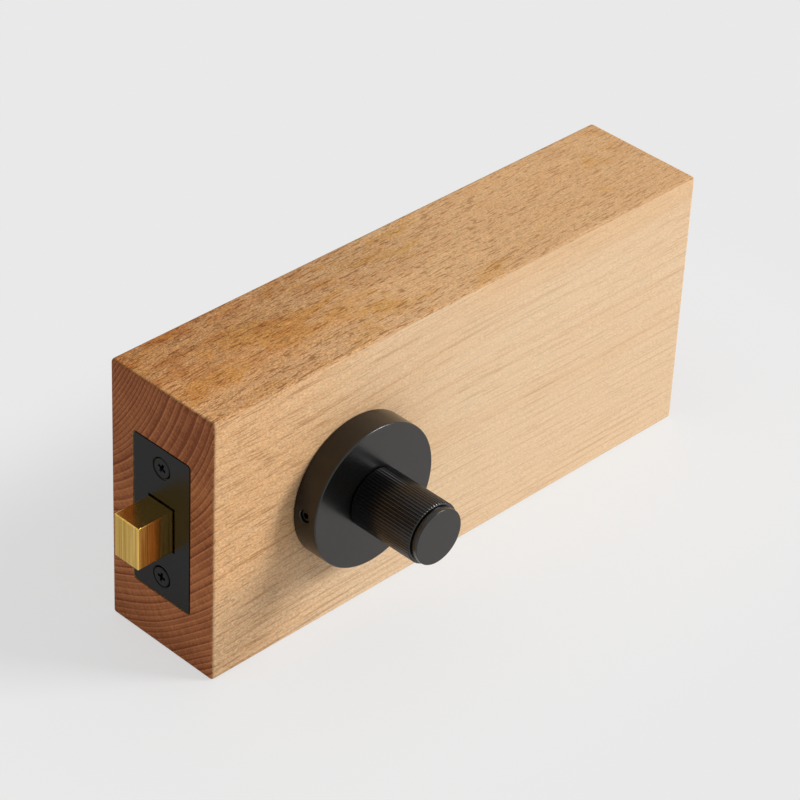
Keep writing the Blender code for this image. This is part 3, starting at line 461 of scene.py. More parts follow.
def build_beech():
    material, tree, shader = new_material("oiled_beech")
    log = log_place(tree)
    distance = heart_distance(tree, log)
    late, early = year_rings(tree, distance)
    here = object_place(tree)
    place = add_node(tree, "ShaderNodeSeparateXYZ", {0: here}).outputs
    along, across, high = place["X"], place["Y"], place["Z"]
    streak = noise(tree, stretch(tree, log, STREAKS), 1.0, 3, 0.6)
    fleck = noise(tree, stretch(tree, log, FLECKS), 1.0, 1, 0.5)
    dash = noise(tree, stretch(tree, log, DASHES), 1.0, 1.5, 0.6)
    pore = noise(tree, stretch(tree, log, PORES), 1.0, 1, 0.5)

    # How much each point is cut end or top. The fibres break up the line where two faces meet.
    normal = add_node(tree, "ShaderNodeTexCoord").outputs["Normal"]
    facing = add_node(tree, "ShaderNodeSeparateXYZ", {0: normal}).outputs
    ragged = times(tree, compute(tree, "SUBTRACT", fleck, 0.5), 0.9)
    end = remap(tree, compute(tree, "ADD", compute(tree, "ABSOLUTE", facing["X"]), ragged), 0.50, 0.80)
    top = remap(tree, compute(tree, "ADD", facing["Z"], ragged), 0.40, 0.66)

    # Broad soft bands that follow the rings, and the slow change from tan to pale along the block, which is
    # partly the wood's own colour and partly painted light that brightens the far end
    inputs = {"X": times(tree, distance, 150.0), "Y": times(tree, along, 9.0)}
    bands = add_node(tree, "ShaderNodeCombineXYZ", inputs).outputs[0]
    bands = noise(tree, bands, 1.0, 3, 0.6)
    cloud = noise(tree, stretch(tree, here, CLOUDS), 1.0, 2)
    paleness = remap(tree, along, -0.11, 0.01, 0.10, 0.95)
    paleness = compute(tree, "MULTIPLY_ADD", compute(tree, "SUBTRACT", bands, 0.5), 0.7, paleness)
    paleness = compute(tree, "MULTIPLY_ADD", compute(tree, "SUBTRACT", cloud, 0.5), 0.4, paleness)
    paleness = compute(tree, "ADD", paleness, remap(tree, high, 0.0, 0.055, 0.40, 0.0))
    upper_edge = remap(tree, high, 0.084, 0.098, 0.0, -0.38)
    tanned = times(tree, upper_edge, remap(tree, along, -0.03, 0.03))
    tanned = times(tree, tanned, compute(tree, "SUBTRACT", 1.0, top))
    paleness = compute(tree, "ADD", paleness, tanned)
    side = blend(tree, remap(tree, paleness, 0, 1, kind="LINEAR"), SIDE_TAN, SIDE_PALE)

    # Late wood as thin broken lines, then pores as short dark dashes, most of them in those lines
    calm = remap(tree, along, -0.10, 0.0, 1.0, 0.42)
    broken = times(tree, remap(tree, streak, 0.38, 0.62, 0.15, 0.60, "LINEAR"), calm)
    side = blend(tree, times(tree, late, broken), side, SIDE_DARK)
    dash = remap(tree, compute(tree, "MULTIPLY_ADD", late, 0.05, dash), 0.575, 0.64)
    pore = remap(tree, compute(tree, "MULTIPLY_ADD", late, 0.04, pore), 0.58, 0.65)
    strength = times(tree, compute(tree, "SUBTRACT", 1.0, top), times(tree, calm, 0.60))
    marks = times(tree, dash, strength)
    rough = times(tree, top, remap(tree, along, -0.05, 0.08, 1.1, 0.75))
    marks = compute(tree, "MULTIPLY_ADD", pore, times(tree, rough, 0.82), marks)

    # The top: a little darker, with amber oil stains, and rusty patches towards the back of the bolt end. A
    # painted sheen makes it paler along its front edge, most of all near the bolt, and painted shade darkens
    # its rounded edges.
    stain = noise(tree, stretch(tree, here, STAINS), 1.0, 5, 0.68, 0.5)
    reach = remap(tree, along, -0.05, 0.04, 0.0, 0.13, "LINEAR")
    amber = remap(tree, compute(tree, "SUBTRACT", stain, reach), 0.44, 0.58, 0.0, 0.85)
    second = noise(tree, stretch(tree, here, RUST), 1.0, 5, 0.68, 0.5)
    bolt_end = remap(tree, along, -0.11, 0.03, 1.0, 0.25)
    back_corner = times(tree, bolt_end, remap(tree, across, -0.02, 0.015, 0.2, 1.0))
    rust = times(tree, remap(tree, second, 0.45, 0.60), back_corner)
    level = remap(tree, facing["Z"], 0.70, 1.0)
    # Painted shade: where the top's rounded edges tilt towards the front, its colour is darkened to offset
    # the brighter light there.
    bevel_painted_shade = compute(tree, "MULTIPLY_ADD", level, 0.32, 0.68)
    amber = times(tree, amber, level)
    top_side = blend(tree, 1.0, scaled(tree, side, bevel_painted_shade), TOP_TINT, "MULTIPLY")
    top_side = blend(tree, amber, top_side, blend(tree, 1.0, top_side, AMBER_TINT, "MULTIPLY"))
    top_side = blend(tree, rust, top_side, blend(tree, 1.0, top_side, RUST_TINT, "MULTIPLY"))
    # Painted sheen: a strip along the top's front edge is blended towards the paler colour of the long face.
    front_edge = remap(tree, across, -0.016, -0.010, 0.35, 0.0)
    painted_edge_sheen = times(tree, front_edge, remap(tree, along, -0.08, 0.02, 1.0, 0.1))
    top_side = blend(tree, painted_edge_sheen, top_side, side)
    colour = blend(tree, top, side, top_side)

    # Fibres and flecks lighten and darken it, more at the bolt end and most on the top. The foot of the bolt
    # end is darker, and the top grows paler to the front. Painted light brightens the top towards the far
    # end.
    depth = compute(tree, "MULTIPLY_ADD", rough, 0.80, times(tree, calm, 1.15))
    tone = times(tree, compute(tree, "SUBTRACT", fleck, 0.5), depth)
    pull = compute(tree, "MULTIPLY_ADD", rough, 0.42, times(tree, calm, 0.24))
    tone = compute(tree, "MULTIPLY_ADD", compute(tree, "SUBTRACT", streak, 0.5), pull, tone)
    foot = remap(tree, high, 0.0, 0.045, 1.0, 0.0)
    low_corner = times(tree, remap(tree, along, -0.11, -0.06, 1.0, 0.0), foot)
    tone = compute(tree, "MULTIPLY_ADD", low_corner, -0.19, tone)
    # Painted light: the top is brightened towards the far end.
    painted_far_light = times(tree, top, remap(tree, along, -0.07, 0.06, 0.0, 0.165))
    tone = compute(tree, "ADD", tone, painted_far_light)
    slope = remap(tree, across, -0.008, 0.014, 0.11, -0.08)
    slope = times(tree, slope, remap(tree, along, -0.02, 0.04, 1.0, 0.0))
    tone = compute(tree, "MULTIPLY_ADD", slope, top, tone)
    colour = scaled(tree, colour, compute(tree, "ADD", tone, 1.0))
    darker = blend(tree, 1.0, colour, PORE_TINT, "MULTIPLY")
    colour = blend(tree, marks, colour, darker)

    # The cut ends: reddish brown, with rings as dark and pale arcs, and a fine speckle of pores
    end_cloud = noise(tree, stretch(tree, here, END_CLOUDS), 1.0, 3)
    speckle = noise(tree, stretch(tree, here, END_SPECKLES), 1.0, 2, 0.6)
    inputs = {"W": distance, "Scale": 1500.0, "Detail": 2.0}
    fine = add_node(tree, "ShaderNodeTexNoise", inputs, noise_dimensions="1D").outputs["Fac"]
    sideways = add_node(tree, "ShaderNodeSeparateXYZ", {0: log}).outputs
    angle = compute(tree, "ARCTAN2", sideways["Z"], sideways["Y"])
    inputs = {"X": times(tree, angle, 90.0), "Y": times(tree, distance, 160.0)}
    rays = add_node(tree, "ShaderNodeCombineXYZ", inputs).outputs[0]
    rays = noise(tree, rays, 1.0, 1, 0.5)
    end_tone = compute(tree, "MULTIPLY_ADD", late, 0.50, times(tree, end_cloud, 0.55))
    end_tone = compute(tree, "MULTIPLY_ADD", rays, 0.40, end_tone)
    end_tone = compute(tree, "MULTIPLY_ADD", early, -0.26, end_tone)
    end_tone = compute(tree, "MULTIPLY_ADD", speckle, 0.75, end_tone)
    end_tone = compute(tree, "MULTIPLY_ADD", fine, 0.45, end_tone)
    # Painted shade: the end is darkened towards its top edge, and lightened a little near its foot as painted
    # floor light.
    end_tone = compute(tree, "ADD", end_tone, remap(tree, high, 0.06, 0.10, -0.05, 0.13))
    end_colour = blend(tree, remap(tree, end_tone, 0.55, 1.45, kind="LINEAR"), END_PALE, END_DARK)
    colour = blend(tree, end, colour, end_colour)
    feed(tree, shader.inputs["Base Color"], colour)

    # Open pores and fibres are felt as well as seen
    relief = compute(tree, "MULTIPLY_ADD", marks, -1.0, times(tree, fleck, 0.8))
    bump = add_node(tree, "ShaderNodeBump", {"Height": relief, "Strength": 0.25, "Distance": PORE_DEPTH})
    feed(tree, shader.inputs["Normal"], bump.outputs["Normal"])
    feed(tree, shader.inputs["Roughness"], remap(tree, streak, 0.2, 0.8, 0.55, 0.70, "LINEAR"))
    feed(tree, shader.inputs["Specular IOR Level"], remap(tree, end, 0, 1, 0.22, 0.08, "LINEAR"))
    return material


beech = build_beech()
print("beech", len(beech.node_tree.nodes), "nodes")

# %% [markdown]
# ## Finishes on the metal
#
# The visible ironmongery has a satin black coating: nearly black, and smooth enough to show a soft
# grey picture of the floor. A coating is never quite flat, so a very fine grain moves its roughness
# and its surface. The bolt is brass with straight brush marks. Both use one group for the grain and
# one for the brush marks, with their own values.

# %% Shared groups
def new_group(name, inputs, outputs):
    """A node group with named number or vector inputs and number outputs."""
    tree = bpy.data.node_groups.new(name, "ShaderNodeTree")
    for label, (kind, value) in inputs.items():
        made = tree.interface.new_socket(label, in_out="INPUT", socket_type=kind)
        if value is not None:
            made.default_value = value
    for label in outputs:
        tree.interface.new_socket(label, in_out="OUTPUT", socket_type="NodeSocketFloat")
    return tree, tree.nodes.new("NodeGroupInput").outputs, tree.nodes.new("NodeGroupOutput").inputs


def build_fine_grain():
    """The grain of a sprayed or tumbled surface: a close grain and slow clouds."""
    tree, given, wanted = new_group(
        "fine_grain",
        {"Place": ("NodeSocketVector", None), "Grain Scale": ("NodeSocketFloat", 4000.0),
         "Cloud Scale": ("NodeSocketFloat", 60.0)},
        ["Grain", "Clouds"],
    )
    feed(tree, wanted["Grain"], noise(tree, given["Place"], given["Grain Scale"], 2, 0.6))
    feed(tree, wanted["Clouds"], noise(tree, given["Place"], given["Cloud Scale"], 3, 0.55))
    return tree


def build_brush_marks():
    """Straight marks: noise pulled out along the brush's way, as fine scratches and broader streaks."""
    tree, given, wanted = new_group(
        "brush_marks",
        {"Place": ("NodeSocketVector", None), "Fine": ("NodeSocketVector", (9000.0, 9000.0, 60.0)),
         "Broad": ("NodeSocketVector", (1300.0, 1300.0, 25.0))},
        ["Scratches", "Streaks"],
    )
    for label, way, detail in (("Scratches", "Fine", 3), ("Streaks", "Broad", 2)):
        pulled = stretch(tree, given["Place"], given[way])
        feed(tree, wanted[label], noise(tree, pulled, 1.0, detail, 0.6))
    return tree


def use_group(tree, group, **inputs):
    made = tree.nodes.new("ShaderNodeGroup")
    made.node_tree = group
    feed(tree, made.inputs["Place"], object_place(tree))
    for label, term in inputs.items():
        feed(tree, made.inputs[label.replace("_", " ")], term)
    return made.outputs


fine_grain = build_fine_grain()
brush_marks = build_brush_marks()
print("groups", fine_grain.name, brush_marks.name)

# %% Satin black, brass, plated steel, cast zinc and nylon
GRAIN_DEPTH = 0.00002


def build_coated(name, colour, low, high, grain_scale, bump_strength, **constants):
    """A surface whose roughness and relief follow the fine grain."""
    material, tree, shader = new_material(name, **constants)
    grain = use_group(tree, fine_grain, Grain_Scale=grain_scale)
    deeper = blend(tree, remap(tree, grain["Clouds"], 0.3, 0.7), colour, [0.86 * part for part in colour])
    feed(tree, shader.inputs["Base Color"], deeper)
    both = compute(tree, "MULTIPLY_ADD", grain["Clouds"], 0.5, times(tree, grain["Grain"], 0.5))
    feed(tree, shader.inputs["Roughness"], remap(tree, both, 0.3, 0.7, low, high, "LINEAR"))
    bump = add_node(
        tree, "ShaderNodeBump", {"Height": grain["Grain"], "Strength": bump_strength, "Distance": GRAIN_DEPTH}
    )
    feed(tree, shader.inputs["Normal"], bump.outputs["Normal"])
    return material


def build_brushed(name, colour, dark, low, high, fine, broad):
    """Bare metal with straight brush marks, which change its tone, its gloss and its relief."""
    material, tree, shader = new_material(name, Metallic=1.0)
    marks = use_group(tree, brush_marks, Fine=fine, Broad=broad)
    tone = compute(tree, "MULTIPLY_ADD", marks["Streaks"], 0.6, times(tree, marks["Scratches"], 0.4))
    tinted = blend(tree, remap(tree, tone, 0.35, 0.65), dark, colour)
    feed(tree, shader.inputs["Base Color"], tinted)
    feed(tree, shader.inputs["Roughness"], remap(tree, marks["Scratches"], 0.3, 0.7, low, high, "LINEAR"))
    bump = add_node(
        tree, "ShaderNodeBump", {"Height": marks["Scratches"], "Strength": 0.25, "Distance": GRAIN_DEPTH}
    )
    feed(tree, shader.inputs["Normal"], bump.outputs["Normal"])
    return material


satin_black = build_coated("satin_black", (0.0035, 0.0032, 0.0030), 0.20, 0.27, 5000.0, 0.10, IOR=1.52)
dull_black = build_coated(
    "dull_black", (0.0030, 0.0030, 0.0028), 0.26, 0.34, 5000.0, 0.12, Specular_IOR_Level=0.24
)
brass = build_brushed(
    "brushed_brass", (0.89, 0.590, 0.168), (0.61, 0.37, 0.064), 0.14, 0.27,
    fine=(4200, 4200, 45), broad=(2100, 2100, 25),
)
plated = build_brushed(
    "zinc_plated_steel", (0.62, 0.62, 0.60), (0.52, 0.52, 0.51), 0.24, 0.40,
    fine=(6000, 6000, 80), broad=(800, 800, 40),
)
zinc = build_coated("tumbled_zinc", (0.42, 0.43, 0.44), 0.42, 0.58, 2500.0, 0.5, Metallic=0.9)
nylon = build_coated("moulded_nylon", (0.80, 0.79, 0.74), 0.45, 0.60, 3000.0, 0.15)
print("finishes", satin_black.name, brass.name, plated.name, zinc.name, nylon.name)

# %% [markdown]
# ## The block
#
# The block is sawn, planed and sanded, so its edges are softly rounded. It starts as a box the size
# of its node. Then it is cut as a joiner cuts it: a shallow recess for the forend, a long bore for
# the bolt case, a cross bore for the spindle, and pilot holes for the screws. Each cut takes its
# size from what goes into it, with a little air.

# %% Block
EDGE_RADIUS = 0.0013
AIR = 0.0003
FIT = 0.00015
PAST = 0.002
CASE_AIR = 0.0004
BORE_AIR = 0.0006
TURN_X = -0.050
TURN_Z = 0.0495
PILOT_RADIUS = 0.0019
PILOT_REACH = 0.026
CROSS_BORE_REACH = 0.03
CORNER_RADIUS = 0.0012
PLATE_TRIM = 0.00025

block_low, block_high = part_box("beech_block")
plate_low, plate_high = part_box("forend_face_plate")
inner_low, inner_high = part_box("forend_inner_plate")
case_low, case_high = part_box("bolt_case_back_half")
washer_low, washer_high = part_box("front_washer")
PLATES_END = inner_high.x


def on_circle(radius, near=NEAR):
    """A test for points on the turn's axis line at this radius from it."""
    return lambda point: abs(math.hypot(point.x - TURN_X, point.z - TURN_Z) - radius) < near


block = new_box("sanded_beech_block", block_low, block_high)
with editing(block):
    bpy.ops.mesh.select_all(action="SELECT")
    bpy.ops.mesh.bevel(offset=EDGE_RADIUS, segments=5, profile=0.5, affect="EDGES")

recess = new_box(
    "recess", (block_low.x - PAST, plate_low.y - AIR, plate_low.z - AIR),
    (PLATES_END + AIR, plate_high.y + AIR, plate_high.z + AIR),
)
with editing(recess):
    pick(recess, "EDGE", lambda point: True, along=(1, 0, 0))
    bpy.ops.mesh.bevel(offset=CORNER_RADIUS + AIR, segments=6, affect="EDGES")
carve(block, recess)
case_radius = (case_high.z - case_low.z) / 2 + CASE_AIR
start, end = (PLATES_END - AIR, 0, TURN_Z), (case_high.x + BORE_AIR, 0, TURN_Z)
carve(block, new_round("case_bore", start, end, case_radius))
cross_radius = (washer_high.x - washer_low.x) / 2 + BORE_AIR
start, end = (TURN_X, -CROSS_BORE_REACH, TURN_Z), (TURN_X, CROSS_BORE_REACH, TURN_Z)
carve(block, new_round("cross_bore", start, end, cross_radius))
for name in ("forend_screw_upper", "forend_screw_lower"):
    low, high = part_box(name)
    height = (low.z + high.z) / 2
    start, end = (PLATES_END, 0, height), (high.x + BORE_AIR, 0, height)
    carve(block, new_round("pilot", start, end, PILOT_RADIUS, sides=24))
for side, label in ((-1, "front"), (1, "back")):
    for level in ("upper", "lower"):
        low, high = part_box(f"{label}_base_screw_{level}")
        height = (low.z + high.z) / 2
        inner = min(abs(low.y), abs(high.y)) - BORE_AIR
        start, end = (TURN_X, side * inner, height), (TURN_X, side * PILOT_REACH, height)
        carve(block, new_round("pilot", start, end, PILOT_RADIUS, sides=24))
finish_piece(block, "root", ["beech_block"], beech)

# %% [markdown]
# ## The forend
#
# The forend is a thin black plate, let in flush with the wood. Its rim is trimmed a little smaller
# than its node, so that the gap round it shows as a fine dark line. The bolt comes out of a square
# opening with a gap on each side, and two countersunk screws with a cross recess hold the plate. The
# screws were driven by hand, so their crosses stand at unlike angles and their heads sit off centre.

# %% Forend plate
OPENING_GAP = 0.0005
SINK_RADIUS = 0.00407
SINK_LAND = 0.0003
SINK_CONE_START = 0.0002
SHARP_EDGE = 0.00012

bolt_low, bolt_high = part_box("bolt_head")
trim = Vector((0, PLATE_TRIM, PLATE_TRIM))
plate = new_box("black_forend_plate", plate_low + trim, plate_high - trim)
with editing(plate):
    pick(plate, "EDGE", lambda point: True, along=(1, 0, 0))
    bpy.ops.mesh.bevel(offset=CORNER_RADIUS, segments=8, affect="EDGES")
carve(
    plate,
    new_box(
        "bolt_opening", (plate_low.x - PAST, bolt_low.y - OPENING_GAP, bolt_low.z - OPENING_GAP),
        (plate_high.x + PAST, bolt_high.y + OPENING_GAP, bolt_high.z + OPENING_GAP),
    ),
)
for name in ("forend_screw_upper", "forend_screw_lower"):
    low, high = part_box(name)
    height = (low.z + high.z) / 2
    start, end = (low.x - PAST, 0, height), (low.x + SINK_LAND, 0, height)
    carve(plate, new_round("sink", start, end, SINK_RADIUS))
    start, end = (low.x + SINK_CONE_START, 0, height), (low.x + SINK_CONE_START + PAST, 0, height)
    carve(plate, new_round("sink", start, end, SINK_RADIUS, SINK_RADIUS - PAST))
with editing(plate):
    pick(plate, "EDGE", lambda point: abs(point.x - plate_low.x) < NEAR, sharp=True)
    bpy.ops.mesh.bevel(offset=SHARP_EDGE, segments=3, affect="EDGES")
finish_piece(plate, "root", ["forend_face_plate"], dull_black)

# %% Forend screws
CROSS_LENGTH = 0.0047
CROSS_WIDTH = 0.0014
CROSS_DEPTH = 0.0016
CROSS_TAPER = 0.5
HEAD_LAND = 0.00065
HEAD_RADIUS = 0.00345
HEAD_EDGE = 0.0004
POINT_LENGTH = 0.004
POINT_SHARE = 0.02
SCREW_RADIUS = 0.00175


def move_selected(offset):
    bpy.ops.mesh.extrude_region_move(TRANSFORM_OT_translate={"value": offset})


def resize_selected(factors, centre):
    bpy.ops.transform.resize(value=factors, center_override=centre)


def forend_screw(node, turn, off_centre):
    """A countersunk wood screw that points along +X, with its head flush."""
    low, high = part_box(node)
    middle = Vector((low.x, 0, (low.z + high.z) / 2)) + Vector((0, *off_centre))
    screw = new_round(f"black_{node}", middle, middle + Vector((HEAD_LAND, 0, 0)), HEAD_RADIUS, sides=96)
    cone = HEAD_RADIUS - SCREW_RADIUS
    with editing(screw):
        pick(screw, "EDGE", lambda point: abs(point.x - low.x) < NEAR)
        bpy.ops.mesh.bevel(offset=HEAD_EDGE, segments=4, affect="EDGES")
        pick(screw, "FACE", lambda point: abs(point.x - low.x - HEAD_LAND) < NEAR, facing=(1, 0, 0))
        move_selected((cone, 0, 0))
        narrow = SCREW_RADIUS / HEAD_RADIUS
        resize_selected((1, narrow, narrow), middle)
        move_selected((high.x - low.x - HEAD_LAND - cone - POINT_LENGTH, 0, 0))
        move_selected((POINT_LENGTH, 0, 0))
        resize_selected((1, POINT_SHARE, POINT_SHARE), middle)
    half_blade = Vector((CROSS_DEPTH, CROSS_LENGTH / 2, CROSS_WIDTH / 2))
    for quarter in (0, 1):
        blade = new_box("blade", middle - half_blade, middle + half_blade)
        with editing(blade):
            pick(blade, "FACE", lambda point: point.x > middle.x, facing=(1, 0, 0))
            resize_selected((1, CROSS_TAPER, CROSS_TAPER), middle)
        spun = Matrix.Rotation(turn + quarter * math.pi / 2, 4, "X")
        blade.data.transform(Matrix.Translation(middle) @ spun @ Matrix.Translation(-middle))
        carve(screw, blade)
    finish_piece(screw, "root", [node], dull_black)


forend_screw("forend_screw_upper", math.radians(27), (-0.00012, 0.00020))
forend_screw("forend_screw_lower", math.radians(10), (0.00012, -0.00018))

# %% [markdown]
# ## The bolt
#
# The bolt is a plain bar of brass with eased edges, slotted at its rear for the steel tail.

# %% Bolt
BOLT_EDGE = 0.0004
RIVET_REACH = Vector((0, 0.01, 0))

tail_low, tail_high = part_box("bolt_tail")
rivet_low, rivet_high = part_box("bolt_tail_rivet")
bolt = new_box("brass_bolt", bolt_low, bolt_high)
with editing(bolt):
    bpy.ops.mesh.select_all(action="SELECT")
    bpy.ops.mesh.bevel(offset=BOLT_EDGE, segments=4, affect="EDGES")
carve(
    bolt,
    new_box(
        "tail_slot", (tail_low.x - AIR, tail_low.y - FIT, bolt_low.z - PAST),
        (bolt_high.x + PAST, tail_high.y + FIT, bolt_high.z + PAST),
    ),
)
rivet = Vector(((rivet_low.x + rivet_high.x) / 2, 0, TURN_Z))
rivet_radius = (rivet_high.z - rivet_low.z) / 2 + FIT
carve(bolt, new_round("rivet_hole", rivet - RIVET_REACH, rivet + RIVET_REACH, rivet_radius, sides=32))
finish_piece(bolt, "bolt", ["bolt_head"], brass)

# %% [markdown]
# ## The roses
#
# A rose cover is a shallow turned cup. It starts as a short cylinder. Its back is inset by the
# wall's thickness and pushed in, its front is opened for the shank, and the two rims are bridged.
# The front edge is turned to a small radius, which catches the light as one thin bright line. A
# grub screw at the bolt side holds the cover on its base.

# %% Rose covers and grub screws
ROSE_WALL = 0.0026
ROSE_TOP = 0.0016
ROSE_EDGE = 0.00045
ROSE_SIDES = 256
SHANK_HOLE_RADIUS = 0.0086
GRUB_HOLE_DEPTH = 0.006
GRUB_HOLE_CHAMFER = 0.00025
GRUB_SET_BACK = 0.0008
GRUB_LENGTH = 0.004
GRUB_EDGE = 0.0003
SOCKET_RADIUS = 0.00115
SOCKET_DEPTH = 0.002


def rose_cover(name, node, side, grub_node):
    low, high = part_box(node)
    radius = (high.x - low.x) / 2
    back, front = sorted((low.y, high.y), key=abs)
    cover = new_round(name, (TURN_X, back, TURN_Z), (TURN_X, front, TURN_Z), radius, sides=ROSE_SIDES)
    outward = (0, side, 0)
    inward = (0, -side, 0)
    with editing(cover):
        pick(cover, "FACE", lambda point: abs(point.y - back) < NEAR, facing=inward)
        bpy.ops.mesh.inset(thickness=ROSE_WALL)
        move_selected((0, front - back - side * ROSE_TOP, 0))
        bpy.ops.mesh.inset(thickness=radius - ROSE_WALL - SHANK_HOLE_RADIUS)
        bpy.ops.mesh.delete(type="ONLY_FACE")
        pick(cover, "FACE", lambda point: abs(point.y - front) < NEAR, facing=outward)
        bpy.ops.mesh.inset(thickness=radius - SHANK_HOLE_RADIUS)
        bpy.ops.mesh.delete(type="ONLY_FACE")
        pick(cover, "EDGE", on_circle(SHANK_HOLE_RADIUS, 1e-5))
        bpy.ops.mesh.bridge_edge_loops()
        on_rim = on_circle(radius, 1e-5)
        pick(cover, "EDGE", lambda point: abs(point.y - front) < NEAR and on_rim(point))
        bpy.ops.mesh.bevel(offset=ROSE_EDGE, segments=6, affect="EDGES")
        bpy.ops.mesh.select_all(action="SELECT")
        bpy.ops.mesh.normals_make_consistent(inside=False)
    grub_low, grub_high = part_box(grub_node)
    reach = (grub_low + grub_high) / 2 - Vector((TURN_X, 0, TURN_Z))
    height = reach.y
    reach.y = 0
    way = reach.normalized()
    hub = Vector((TURN_X, height, TURN_Z))
    grub_radius = (grub_high.y - grub_low.y) / 2
    hole = grub_radius + FIT
    start, end = hub + way * (radius - GRUB_HOLE_DEPTH), hub + way * (radius + PAST)
    carve(cover, new_round("grub_hole", start, end, hole, sides=64))
    mouth = radius + GRUB_HOLE_CHAMFER
    flare = 2 * GRUB_HOLE_CHAMFER
    start, end = hub + way * (mouth - flare), hub + way * mouth
    carve(cover, new_round("mouth", start, end, hole, hole + flare, sides=64))
    finish_piece(cover, "root", [node], satin_black)

    outer = radius - GRUB_SET_BACK
    start, end = hub + way * (outer - GRUB_LENGTH), hub + way * outer
    grub = new_round(f"{grub_node}_set", start, end, grub_radius, sides=48)
    with editing(grub):
        pick(grub, "EDGE", lambda point: abs((point - hub).dot(way) - outer) < NEAR)
        bpy.ops.mesh.bevel(offset=GRUB_EDGE, segments=2, affect="EDGES")
    start, end = hub + way * (outer - SOCKET_DEPTH), hub + way * (outer + SOCKET_DEPTH / 2)
    carve(grub, new_round("socket", start, end, SOCKET_RADIUS, sides=6))
    finish_piece(grub, "root", [grub_node], satin_black)


rose_cover("black_front_rose", "front_rose_cover", -1, "front_grub_screw")
rose_cover("black_back_rose", "back_rose_cover", 1, "back_grub_screw")

# %% [markdown]
# ## The knob
#
# The knob is a turned blank with a straight knurl: sixty ridges pressed in by a wheel. The blank
# starts as a cylinder with twelve sides to each ridge. Its two ends are extruded and narrowed to
# chamfers that reach the foot of the grooves, and then each row of points between two ridges is
# drawn in towards the axis. So each ridge ends in a small tooth, as a wheel leaves it. The foot of
# the teeth at the free end is eased to a narrow ring, which catches the light as one bright arc.

# %% Knob
KNURL_COUNT = 60
KNURL_SIDES = 12
KNURL_DEPTH = 0.0004
KNURL_RUNOUT = 0.0004
KNOB_GAP = 0.0004
ROW_SLACK = 0.2
CREST_SHARE = 0.34
ROOT_SHARE = 0.14
SHANK_RADIUS = 0.00785
GROOVE_RADIUS = 0.0070
CAP_BORE_RADIUS = 0.00795

knob_low, knob_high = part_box("knob")
cap_low, cap_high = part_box("knob_end_cap")
spindle_low, spindle_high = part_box("spindle")
rose_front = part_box("front_rose_cover")[0].y
clip_low, clip_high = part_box("front_circlip")
KNOB_RADIUS = (knob_high.x - knob_low.x) / 2
KNOB_BASE = rose_front - KNOB_GAP
KNOB_END = knob_low.y


def knurl_drop(part):
    """How far the surface lies below the crests, at this part of a pitch from the middle of a crest."""
    away = min(part, 1 - part)
    slope = (away - CREST_SHARE / 2) / (0.5 - CREST_SHARE / 2 - ROOT_SHARE / 2)
    return KNURL_DEPTH * min(max(slope, 0), 1)


def axis_point(y):
    return Vector((TURN_X, y, TURN_Z))


def extrude_to(y, radius, old_y, old_radius):
    """Extrudes the selected end face along the turn's axis and gives it a new radius."""
    move_selected((0, y - old_y, 0))
    factor = radius / old_radius
    resize_selected((factor, 1, factor), axis_point(y))


def knurl_blank():
    """The blank between its chamfers, with a ring of points at each change of slope."""
    full_start = KNOB_BASE - KNURL_RUNOUT
    full_end = KNOB_END + KNURL_RUNOUT
    blank = new_round(
        "black_knurled_knob", axis_point(full_start), axis_point(full_end), KNOB_RADIUS,
        sides=KNURL_COUNT * KNURL_SIDES,
    )
    with editing(blank):
        root = KNOB_RADIUS - KNURL_DEPTH
        pick(blank, "FACE", lambda point: abs(point.y - full_end) < NEAR, facing=(0, -1, 0))
        extrude_to(KNOB_END, root, full_end, KNOB_RADIUS)
        pick(blank, "FACE", lambda point: abs(point.y - full_start) < NEAR, facing=(0, 1, 0))
        extrude_to(KNOB_BASE, root, full_start, KNOB_RADIUS)
        pitch = 2 * math.pi / KNURL_COUNT
        for step in range(1, KNURL_SIDES // 2 + 1):
            drop = knurl_drop(step / KNURL_SIDES)
            if drop == 0:
                continue

            def in_row(point):
                if not full_end - NEAR < point.y < full_start + NEAR:
                    return False
                part = (math.atan2(point.z - TURN_Z, point.x - TURN_X) / pitch) % 1
                away = min(part, 1 - part) * KNURL_SIDES
                outside = math.hypot(point.x - TURN_X, point.z - TURN_Z) > root
                return abs(away - step) < ROW_SLACK and outside

            pick(blank, "VERT", in_row)
            factor = (KNOB_RADIUS - drop) / KNOB_RADIUS
            resize_selected((factor, 1, factor), axis_point(0))
    return blank


knob = knurl_blank()
print("knob radius", round(KNOB_RADIUS * 1000, 2), "mm,", KNURL_COUNT, "ridges")

# %% Knob: bore, shank and square hole
groove_top = clip_low.y - FIT
groove_bottom = clip_high.y + FIT
with editing(knob):
    pick(knob, "FACE", lambda point: abs(point.y - KNOB_BASE) < NEAR, facing=(0, 1, 0))
    bpy.ops.mesh.inset(thickness=KNOB_RADIUS - KNURL_DEPTH - SHANK_RADIUS)
    move_selected((0, groove_top - KNOB_BASE, 0))
    extrude_to(groove_top, GROOVE_RADIUS, groove_top, SHANK_RADIUS)
    move_selected((0, groove_bottom - groove_top, 0))
    extrude_to(groove_bottom, SHANK_RADIUS, groove_bottom, GROOVE_RADIUS)
    move_selected((0, knob_high.y - groove_bottom, 0))
    pick(knob, "EDGE", lambda point: abs(point.y - KNOB_END) < NEAR)
    bpy.ops.mesh.bevel(offset=SHARP_EDGE, segments=2, affect="EDGES")
    pick(knob, "FACE", lambda point: abs(point.y - KNOB_END) < NEAR, facing=(0, -1, 0))
    bpy.ops.mesh.inset(thickness=KNOB_RADIUS - KNURL_DEPTH - SHARP_EDGE - CAP_BORE_RADIUS)
    move_selected((0, cap_high.y + AIR - KNOB_END, 0))


